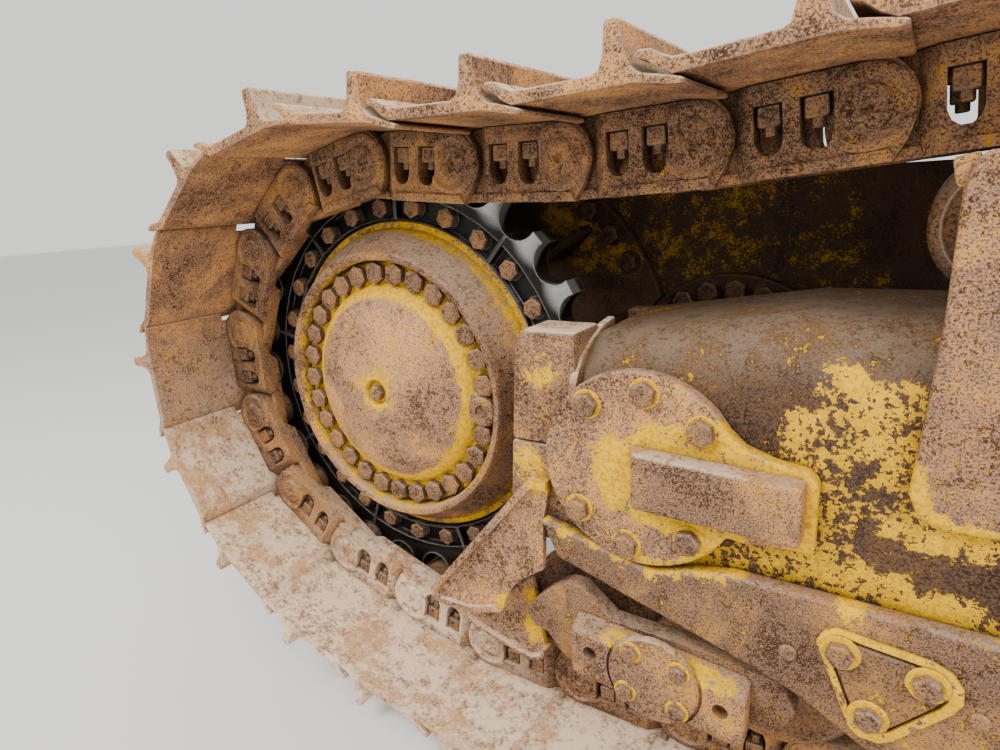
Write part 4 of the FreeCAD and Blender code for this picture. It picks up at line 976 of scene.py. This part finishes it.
class TRACKUNIT_OT_hub(bpy.types.Operator):
    """Turns the hub's drum and its domed cover, and sets the ring of bolts with its plug"""
    bl_idname = "track_unit.hub"
    bl_label = "Hub, dome and rim bolts"

    def execute(self, context):
        sizes = context.scene.track_unit_sizes
        hub = turned("hub_drum", [
            (200, -56), (436, -56), (440, -52), (440, -33), (437, -30), (374, -30), (374, 8), (370, 14),
            (357, 16), (354, 24), (352, 30), (346, 42), (332, 58), (321, 74), (314, 88), (312, 94),
            (308, 98), (301, 98), (295, 95), (292, 90), (292, 48), (0, 48), (0, 4), (200, 4), (200, -56)],
            sizes.turned_sides)
        smooth_over(hub, 40)
        finished(hub, finish("hub_steel", full=0.5, ring=((0, 0, 352, 384), (0, 0, 262, 290))), "worn_paint",
                 "sprocket_hub")
        dome = turned("hub_dome", [
            (0, 44), (286, 44), (288, 47), (288, 60), (286, 62), (246, 62), (239, 64), (234, 71), (228, 79),
            (216, 88), (196, 99), (167, 110), (130, 120), (86, 127), (40, 131), (32, 131), (28, 127),
            (26, 118), (0, 118)], sizes.turned_sides)
        smooth_over(dome, 40)
        finished(dome, finish("dome_steel", ring=((0, 0, 212, 292),), yellow=[(0, 130, 0, 75)]),
                 "worn_paint", "hub_cover")
        plug = hex_bolt("dome_plug", 30.0, 16.0, 0.0)
        plug.location = (0, -118 * MM, 0)
        seated(plug)
        lobe = turned("oil_plug", [(0, 60), (33, 60), (33, 84), (29, 88), (16, 88), (14, 80), (0, 80)], 24,
                      *on_ring(PLUG_PLACE, 258))
        ear = turned("oil_ear", [(0, 60), (42, 60), (36, 74), (30, 80), (0, 82)], 28, *on_ring(PLUG_PLACE, 236))
        plugs = joined("hub_plugs", plug, smooth_over(lobe, 40), smooth_over(ear, 40))
        finished(plugs, finish("plug_steel"), "worn_paint", "hub_cover")
        angles = [FIRST_RIM_BOLT + 360.0 * index / RIM_BOLTS for index in range(RIM_BOLTS) if index != PLUG_PLACE]
        bolted("rim_bolts", "worn_paint", "hub_cover", on_circle(263, angles, 0, 61, 0),
               1000 * sizes.rim_bolt, 15.0, 27.0, 4.0)
        return {"FINISHED"}


class TRACKUNIT_OT_case(bpy.types.Operator):
    """Turns the fixed case behind the sprocket and bolts its flange to the side member"""
    bl_idname = "track_unit.case"
    bl_label = "Final drive case and flange bolts"

    def execute(self, context):
        sides = context.scene.track_unit_sizes.turned_sides
        case = turned("case", [
            (0, -342), (526, -342), (530, -338), (530, -316), (526, -312), (400, -310), (385, -304),
            (374, -280), (338, -160), (330, -150), (330, -66), (326, -62), (200, -62), (200, -3), (0, -3)], sides)
        bored(case, turned("pivot_room", [(0, -350), (243, -350), (243, -280), (0, -280)], 48, *PIVOT))
        smooth_over(case, 40)
        finished(case, finish("wall_paint", "case_paint", full=0.42, tint=(0.8, 0.5, 0.3),
                 yellow=[(272, -312, 350, 90), (338, -312, 271, 80), (420, -312, 250, 60)]),
                 "worn_paint", "final_drive_case")
        ribs = []
        for turn in range(15, 375, 30):
            rib = bar("rib", [(-314, 0), (-314, 95), (-180, 8), (-180, 0)], -11, 11)
            ribs.append((rib, turn))
        placed = []
        for rib, turn in ribs:
            angle = math.radians(turn)
            rib.rotation_euler = (0, math.pi / 2 - angle, 0)
            rib.location = (372 * math.cos(angle) * MM, 0, 372 * math.sin(angle) * MM)
            placed.append(seated(rib))
        ribs = soften(joined("case_ribs", *placed), 4, 2)
        finished(ribs, finish("wall_paint"), "worn_paint", "final_drive_case")
        places = [place for place in on_circle(495, [2.9 + 9 * index for index in range(40)], 0, -312, 0)
                  if math.dist(place[::2], PIVOT) > 280]
        bolted("case_bolts", "worn_paint", "final_drive_case", places, 38.0, 18.0, 27.0, 5.0, "wall_steel",
               "wall_paint")
        flange = turned("pivot_flange_disc", [
            (0, -342), (233, -342), (237, -338), (237, -306), (233, -302), (150, -302), (135, -296),
            (110, -270), (86, -262), (0, -262)], sides, *PIVOT)
        smooth_over(flange, 40)
        finished(flange, finish("wall_paint"), "dark_paint", "pivot_flange")
        angles = [5 + 16.36 * index for index in range(22)]
        bolted("pivot_bolts", "dark_paint", "pivot_flange",
               on_circle(205, angles, PIVOT[0], -302, PIVOT[1]), 40.0, 20.0, 26.0, 4.0, "wall_steel",
               "wall_paint")
        return {"FINISHED"}


# Where paint is left on the frame's outboard wall: side places and reaches
FRAME_PAINT = (
    (934, 152, 42), (950, 122, 48), (963, 98, 55), (1004, 130, 45), (1012, 70, 48), (1012, 10, 46),
    (1030, -30, 50), (1060, -34, 45), (1110, -40, 45), (890, 80, 42), (933, 60, 50), (905, 40, 46),
    (943, -12, 50), (935, -60, 44), (935, -95, 50), (875, -60, 36), (862, -105, 46), (880, -128, 48),
    (820, -150, 50), (761, -165, 55), (700, -190, 60), (640, -190, 55), (575, -180, 55),
    (960, -130, 50), (1020, -140, 42), (1090, -145, 44), (560, 150, 30), (1300, -156, 44, 6),
    (2100, -156, 56, 14), (1500, 60, 130), (1800, 140, 120, 2), (2080, 20, 110))


class TRACKUNIT_OT_frame(bpy.types.Operator):
    """Shapes the roller frame's box and the cheeks at its tail"""
    bl_idname = "track_unit.frame"
    bl_label = "Roller frame and tail"

    def execute(self, context):
        edge = 1000 * context.scene.track_unit_sizes.cast_edge
        clear()
        bpy.ops.mesh.primitive_cube_add(size=1.0, location=at(1350, 0, 10), scale=(1.600, 0.450, 0.430))
        body = seated(named(bpy.context.object, "frame_barrel"))
        bpy.ops.object.mode_set(mode="EDIT")
        bpy.ops.mesh.select_all(action="SELECT")
        bpy.ops.mesh.bisect(plane_co=at(870, 0, 0), plane_no=(1, 0, 0))
        bpy.ops.object.mode_set(mode="OBJECT")
        choose(body, lambda place, _: place.x < 0.6 and place.z > 0, "VERT")
        bpy.ops.transform.translate(value=(0, 0, -0.047))
        bpy.ops.object.mode_set(mode="OBJECT")
        choose(body, lambda middle, along: middle.z > 0.1 and abs(along.x) > 0.9, "EDGE")
        bpy.ops.mesh.bevel(offset=0.112, segments=14, affect="EDGES")
        made_sound()
        soften(body, edge, 2, 50)
        yellow = [(x, 225, z, *reach) for x, z, *reach in FRAME_PAINT]
        finished(body, finish("barrel_paint", yellow=yellow, full=0.44), "worn_paint", "frame_body")
        lower = plate("tail_low", [(408, -190), (550, -190), (550, -10.5), (421, -10.5)], 129, 225)
        upper = plate("tail_high", [(421, -7.5), (550, -7.5), (550, 192), (448, 192), (434, 166)], 129, 225)
        lip = bar("tail_lip", [(70, 150), (228, 30), (236, 40), (236, 100), (226, 124), (204, 150), (168, 170),
                               (120, 188), (70, 194)], 540, 556)
        tail = joined("tail_outer", soften(lower, edge * 0.7), soften(upper, edge), soften(lip, 5))
        finished(tail, finish("frame_paint", "tail_paint", paint=-0.04, dust=0.9, full=0.45,
                 yellow=[(450, 225, -60, 50), (480, 225, 130, 50)]), "worn_paint", "tail_cheek_outer")
        return {"FINISHED"}


class TRACKUNIT_OT_cover(bpy.types.Operator):
    """Shapes the pivot shaft's outer cover with its bolts and the block that stands on it"""
    bl_idname = "track_unit.cover"
    bl_label = "Pivot cover"

    def execute(self, context):
        sizes = context.scene.track_unit_sizes
        x, z = PIVOT
        side = circle(162, 44, x, z, 42, 330)
        side += [(x + 160, z - 84), (x + 258, z - 76), (x + 258, z + 30), (x + 244, z + 44), (x + 200, z + 50),
                 (x + 160, z + 64), (x + 138, z + 84)]
        cover = soften(plate("cover", side, 225, 253), 1000 * sizes.cast_edge, 3)
        rim = [(x + u, 250, z + v, 34) for u, v in (
            (138, 88), (158, 68), (176, 57), (200, 52), (225, 48), (247, 42), (258, 24), (262, -5), (262, -40),
            (262, -70))]
        rim += [(x + u, 253, z + v, reach) for u, v, reach in (
            (-34, 8, 62), (-30, -40, 48), (20, 52, 40), (60, 58, 46), (100, 56, 40), (140, 52, 36),
            (20, -66, 36), (60, -76, 36), (110, -84, 36), (150, -84, 32), (0, -160, 34), (40, -158, 34),
            (80, -146, 34), (110, -124, 34), (136, -104, 34))]
        finished(cover, finish("frame_paint", "cover_paint", full=0.55, yellow=rim, tint=(1.2, 1.2, 1.2)),
                 "worn_paint", "pivot_cover")
        block = plate("cover_block", [(x - 9, z - 46), (x + 245, z - 52), (x + 245, z + 36), (x - 9, z + 46)],
                      252, 293)
        choose(block, lambda place, _: place.y < -(MIDDLE + 290) * MM and place.x < x * MM, "VERT")
        bpy.ops.transform.translate(value=(0.016, 0, 0))
        bpy.ops.object.mode_set(mode="OBJECT")
        soften(block, 7, 3)
        finished(block, finish("frame_paint", "block_paint", paint=-0.04, dust=0.6), "worn_paint", "pivot_cover")
        bolted("cover_bolts", "worn_paint", "pivot_cover",
               on_circle(130, (129, 84, 39, -49, -97, -140), x, 252.5, z), 1000 * sizes.cover_bolt, 13.0,
               25.0, 3.0)
        return {"FINISHED"}


SKIRT_TOP = [(2870, -158), (1136, -158), (816, -153), (760, -163), (690, -184), (589, -160), (489, -137)]
SKIRT_LOW = [(520, -205), (650, -243), (775, -279), (860, -305), (920, -326), (1005, -377)]


def skirt_side():
    """The skirt's side outline: scalloped over the caps of the second and third bogies."""
    side = SKIRT_TOP + SKIRT_LOW
    for place in BOGIE_PLACES[1:]:
        side += [(place - 225, -377), (place - 190, -345), (place - 165, -314), (place - 110, -300),
                 (place + 110, -300), (place + 165, -314), (place + 190, -345), (place + 225, -377)]
    return side + [(2810, -377), (2850, -360), (2870, -317)]


class TRACKUNIT_OT_skirt(bpy.types.Operator):
    """Shapes the outboard skirt with its sloped upper edge and the covers over the bogies' pins"""
    bl_idname = "track_unit.skirt"
    bl_label = "Skirt and pin covers"

    def execute(self, context):
        skirt = plate("skirt", skirt_side(), 225, 257)
        soften(skirt, 9, 3, 30)
        yellow = [(x, 240, z + 2, 32) for (x0, z0), (x1, z1) in zip(SKIRT_TOP[1:], SKIRT_TOP[2:])
                  for x, z in (((x0 + x1) / 2, (z0 + z1) / 2), (x1, z1))]
        yellow += [(1180, 240, -156, 46, 2), (1500, 240, -156, 40, 6), (2300, 240, -156, 44, 12)]
        finished(skirt, finish("frame_paint", "skirt_paint", yellow=yellow, full=0.62, tint=(0.85, 0.74, 0.74)),
                 "worn_paint", "skirt_outer")
        shifts = [(660.0 * index, 0, 0, 0) for index in range(3)]
        buttons = [smooth_over(turned("skirt_button", [
            (0, 255), (13, 255), (13, 259), (10, 262), (0, 263)], 20, x, z)) for x, z in ((900, -253), (1129, -270))]
        finished(copies(joined("skirt_buttons", *buttons), "skirt_buttons", shifts), finish("bolt_steel"),
                 "worn_paint", "skirt_outer")
        x, z = 1015.0, -256.0
        rounded = [(-70, 34), (-62, 52), (-48, 60), (50, 50), (70, 42), (82, 26), (84, 6), (76, -10),
                   (22, -74), (8, -84), (-14, -84), (-26, -74), (-36, -50)]
        lid = soften(plate("lid", [(x + 0.86 * u, z + 0.86 * v) for u, v in rounded], 256, 266), 3, 2)
        rim = plate("rim", [(x + 1.14 * u, z + 1.14 * v) for u, v in rounded], 256, 264)
        bored(rim, plate("room", [(x + 0.93 * u, z + 0.93 * v) for u, v in rounded], 250, 280))
        soften(rim, 3, 2)
        finished(copies(lid, "pin_lids", shifts), finish("frame_paint", "lid_paint", tint=(0.85, 0.55, 0.6), paint=-0.04),
                 "worn_paint", "pin_covers")
        finished(copies(rim, "lid_rims", shifts), finish("fresh_paint"), "worn_paint", "pin_covers")
        three = [(967, -222, 10), (1070, -233, 40), (1008, -311, 25)]
        bolted("lid_bolts", "worn_paint", "pin_covers",
               [(x + shift[0], 265, z, turn) for x, z, turn in three for shift in shifts], 32.0, 10.0, 26.0, 3.0)
        return {"FINISHED"}


class TRACKUNIT_OT_bogies(bpy.types.Operator):
    """Shapes the bogies' blocks with their bolted round caps, and turns their shafts"""
    bl_idname = "track_unit.bogies"
    bl_label = "Bogie blocks and caps"

    def execute(self, context):
        x, z = BOGIE_PLACES[0], AXLE_HEIGHT
        block = plate("block", [(-150, 66), (-156, 58), (-152, -38), (-140, -44), (140, -72), (150, -64),
                                (152, 34), (142, 42)], 218, 255)
        choose(block, lambda place, _: place.y < -(MIDDLE + 250) * MM and place.z > 0.02, "VERT")
        bpy.ops.transform.translate(value=(0, 0, -0.022))
        bpy.ops.object.mode_set(mode="OBJECT")
        soften(block, 7, 3)
        bored(block, plate("hole", circle(13, 16, -116, 8), 235, 280),
              plate("hole", circle(13, 16, 112, -14), 235, 280), plate("room", circle(84, 48), 250, 280))
        yellow = [(x + u, 246, z + v, 26) for u, v in (
            (-80, 48), (-60, 48), (-30, 47), (0, 46), (25, 44), (50, 42), (75, 38), (95, 34), (120, 30))]
        blocks = both_sides(copies(block, "bogie_blocks", [(place, 0, z, 0) for place in BOGIE_PLACES]),
                            "bogie_blocks")
        finished(blocks, finish("frame_paint", "bogie_paint", full=0.5, yellow=yellow), "worn_paint",
                 "bogie_pins")
        cap = turned("cap", [(0, 248), (79, 248), (79, 256), (76, 260), (0, 262)], 48)
        caps = both_sides(copies(smooth_over(cap), "bogie_caps", [(place, 0, z, 0) for place in BOGIE_PLACES]),
                          "bogie_caps")
        finished(caps, finish("frame_paint", "cap_paint", paint=-0.04, dust=0.5), "worn_paint", "bogie_pins")
        places = [spot for place in BOGIE_PLACES for spot in on_circle(59, (129, 39, -41, -142), place, 260.5, z)]
        bolted("cap_bolts", "worn_paint", "bogie_pins", places, 27.0, 8.0, 20.0, 2.5)
        pin = turned("bogie_shaft", [(0, 149), (30, 149), (30, 219), (0, 219)], 24)
        shafts = both_sides(copies(smooth_over(pin), "bogie_shafts", [(place, 0, z, 0) for place in BOGIE_PLACES]),
                            "bogie_shafts")
        finished(shafts, finish("tread_steel"), "worn_paint", "bogie_pins")
        return {"FINISHED"}


class TRACKUNIT_OT_guard(bpy.types.Operator):
    """Shapes the stone guard with its arch and the strips welded along its edges"""
    bl_idname = "track_unit.guard"
    bl_label = "Stone guard"

    def execute(self, context):
        side = [(499, -82), (469, -83), (232, -364), (227, -390), (263, -392), (314, -389), (387, -364),
                (392, -344), (401, -326), (412, -308), (426, -292), (442, -278), (460, -265), (481, -250),
                (486, -153)]
        guard = plate("guard", side, 226, 239)
        strip = plate("strip", [(499, -70), (463, -71), (219, -360), (229, -368), (469, -86), (499, -86)],
                      205, 250)
        foot = plate("foot", [(226, -391), (219, -358), (231, -362), (238, -380), (263, -380), (314, -377),
                              (380, -354), (388, -364), (314, -390), (263, -393)], 157, 250)
        behind = plate("behind", [(216, -385), (216, -444), (283, -475), (406, -504), (431, -494), (438, -474),
                                  (428, -410), (421, -352), (414, -325), (390, -344)], 157, 172)
        lip = plate("lip", [(216, -444), (283, -475), (406, -504), (431, -494), (438, -474), (447, -474),
                            (437, -502), (406, -513), (281, -484), (214, -452)], 157, 184)
        fused(guard, strip, foot)
        guard = joined("guard", soften(guard, 4, 2), soften(fused(behind, lip), 3, 2))
        finished(guard, finish("frame_paint", "guard_paint", dust=0.85, tint=(1.2, 1.4, 1.3), full=0.6, yellow=[
            (485, 245, -78, 34), (425, 165, -440, 55), (430, 165, -380, 50), (395, 235, -345, 30)]),
            "worn_paint", "rear_guard")
        return {"FINISHED"}


class TRACKUNIT_OT_supports(bpy.types.Operator):
    """Shapes the carrier rollers and the plates that hold them"""
    bl_idname = "track_unit.supports"
    bl_label = "Carrier rollers and supports"

    def execute(self, context):
        side = [(1024, 22), (1033, -2), (1046, -13), (1063, -20), (1256, -20), (1282, -8), (1296, 10),
                (1256, 258), (1196, 400), (1180, 420), (1166, 430), (1062, 430), (1050, 422), (1041, 388),
                (1039, 241), (1032, 128)]
        support = soften(plate("support", side, 225, 251), 7, 3)
        lug = soften(plate("lug", [(1056, 388), (1034, 392), (1028, 424), (1054, 430)], 212, 236), 4, 2)
        holders = copies(joined("holder", support, lug), "roller_holders", [(0, 0, 0, 0), (1100, 0, 0, 0)])
        foot = [(x, 240, z, 34) for x, z in (
            (1024, 50), (1024, 20), (1030, -2), (1046, -16), (1070, -22), (1105, -22), (1150, -22), (1200, -22))]
        finished(holders, finish("frame_paint", "holder_paint", dust=0.25, tint=(1.1, 1.2, 1.05), full=0.6,
                 yellow=foot), "worn_paint", "carrier_supports")
        rollers = []
        for x in CARRIER_PLACES:
            z = height_under(x, CARRIER_TREAD)
            rollers.append(smooth_over(turned("carrier", [
                (0, -118), (56, -118), (60, -114), (74, -114), (80, -118), (88, -116), (96, -106), (96, 106),
                (88, 116), (80, 118), (74, 114), (60, 114), (56, 118), (45, 118), (45, 225), (0, 225)], 64, x, z), 40))
        finished(joined("carrier_treads", *rollers), finish("tread_steel", "carrier_steel", rough=0.6, edge=0.5,
                                                        tint=(0.7, 0.5, 0.4)),
                 "worn_steel", "carrier_rollers")
        return {"FINISHED"}


class TRACKUNIT_OT_rollers(bpy.types.Operator):
    """Turns the track rollers and the idler smooth"""
    bl_idname = "track_unit.rollers"
    bl_label = "Track rollers, idler and recoil"

    def execute(self, context):
        half = [(0, 182), (34, 182), (34, 152), (46, 148), (62, 146), (70, 141), (132, 141), (140, 134),
                (140, 122), (120, 117), (118, 60), (92, 40)]
        rows = half + [(radius, -w) for radius, w in reversed(half)]
        rollers = copies(smooth_over(turned("roller", rows, 48), 40), "track_treads",
                         [(x, 0, AXLE_HEIGHT, 0) for x in ROLLER_PLACES])
        finished(rollers, finish("tread_steel"), "worn_steel", "track_rollers")
        half = [(45, 100), (104, 100), (112, 94), (120, 40), (136, 27), (304, 26), (316, 40), (322, 86),
                (328, 90), (356, 90), (360, 86), (360, 40), (384, 38), (388, 34)]
        rows = half + [(radius, -w) for radius, w in reversed(half)] + half[:1]
        idler = smooth_over(turned("idler_wheel", rows, context.scene.track_unit_sizes.turned_sides,
                                   IDLER_X, IDLER_Z), 35)
        finished(idler, finish("tread_steel"), "worn_steel", "idler")
        return {"FINISHED"}


# node, name of the dressed piece, rounding in mm, finish, slot
ROUNDED = [
    ("side_member", "member_plate", 4, "wall_paint", "dark_paint"),
    ("equalizer_seat", "bar_seat", 4, "wall_paint", "dark_paint"),
    ("tail_cheek_inner", "tail_inner", 5, "under_steel", "worn_paint"),
    ("skirt_inner", "skirt_inside", 7, "under_steel", "worn_paint"),
    ("minor_bogies", "bogie_plates", 5, "bogie_steel", "worn_paint"),
    ("major_bogies", "swing_arms", 5, "under_steel", "worn_paint"),
    ("roller_hangers", "hanger_plates", 5, "under_steel", "worn_paint"),
    ("idler_blocks", "slide_blocks", 6, "frame_paint", "worn_paint"),
    ("idler_yoke", "yoke_arms", 6, "frame_paint", "worn_paint"),
    ("frame_rails", "front_rails", 6, "frame_paint", "worn_paint"),
]
KEPT = [("pivot_shaft", "wall_paint"), ("major_pins", "tread_steel"), ("idler_shaft", "tread_steel")]


# Where fine specks of paint are left on the side member's outboard face: side places and reaches
WALL_SPECKS = ((489, 400, 190), (620, 330, 200), (740, 300, 200), (830, 200, 160), (640, 200, 150),
               (0, -60, 420), (500, -300, 300), (1250, 20, 260), (1700, 60, 320, 2), (2300, 40, 260, 2))


class TRACKUNIT_OT_carried(bpy.types.Operator):
    """Rounds the plain plates of the frame, and gives the shafts that stay their finish"""
    bl_idname = "track_unit.carried"
    bl_label = "Plates and shafts"

    def execute(self, context):
        for node, name, width, key, slot in ROUNDED:
            dressed(node, name, width, finish(key), slot)
        specks = [(x, WALL_FACE, z, *reach) for x, z, *reach in WALL_SPECKS]
        plate_piece = bpy.data.objects["member_plate"]
        plate_piece.data.materials.clear()
        plate_piece.data.materials.append(finish("wall_paint", "member_paint", full=0.24, yellow=specks))
        for node, key in KEPT:
            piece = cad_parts[node]
            piece.data.materials.clear()
            piece.data.materials.append(finish(key))
        height = -205 + 112
        housing = barrel("recoil_barrel", [
            (2150, 0), (2150, 108), (2154, 112), (2180, 112), (2184, 100), (2500, 100), (2504, 112),
            (2554, 112), (2558, 108), (2558, 0)], 48, height)
        finished(housing, finish("frame_paint"), "worn_paint", "recoil_housing")
        rod = barrel("adjuster_shaft", [(2556, 0), (2556, 47), (2600, 47), (2604, 44), (2698, 44), (2698, 0)],
                     32, height)
        finished(rod, finish("tread_steel"), "worn_steel", "adjuster_rod")
        return {"FINISHED"}


STEPS = (TRACKUNIT_OT_stage, TRACKUNIT_OT_shoes, TRACKUNIT_OT_links, TRACKUNIT_OT_sprocket,
         TRACKUNIT_OT_hub, TRACKUNIT_OT_case, TRACKUNIT_OT_frame, TRACKUNIT_OT_cover, TRACKUNIT_OT_skirt,
         TRACKUNIT_OT_bogies, TRACKUNIT_OT_guard, TRACKUNIT_OT_supports, TRACKUNIT_OT_rollers,
         TRACKUNIT_OT_carried)


class TRACKUNIT_PT_panel(bpy.types.Panel):
    """Lists the steps that dress the track unit."""
    bl_label = "Track Unit"
    bl_idname = "TRACKUNIT_PT_panel"
    bl_space_type = "VIEW_3D"
    bl_region_type = "UI"
    bl_category = "Track Unit"

    def draw(self, context):
        for step in STEPS:
            self.layout.operator(step.bl_idname)


CLASSES = (TrackUnitSizes, TrackUnitColours) + STEPS + (TRACKUNIT_PT_panel,)


def register():
    for made in CLASSES:
        bpy.utils.register_class(made)
    bpy.types.Scene.track_unit_sizes = PointerProperty(type=TrackUnitSizes)
    bpy.types.Scene.track_unit_colours = PointerProperty(type=TrackUnitColours)


def unregister():
    del bpy.types.Scene.track_unit_sizes
    del bpy.types.Scene.track_unit_colours
    for made in reversed(CLASSES):
        bpy.utils.unregister_class(made)


def main():
    """Runs every step in order."""
    register()
    GROUPS["wear"], GROUPS["rust"], GROUPS["remains"] = wear_group(), rust_group(), remains_group()
    for step in STEPS:
        operator = getattr(bpy.ops.track_unit, step.bl_idname.split(".")[1])
        if operator() != {"FINISHED"}:
            raise RuntimeError("A step could not finish: " + step.bl_label)
    clear()


if __name__ == "__main__":
    main()
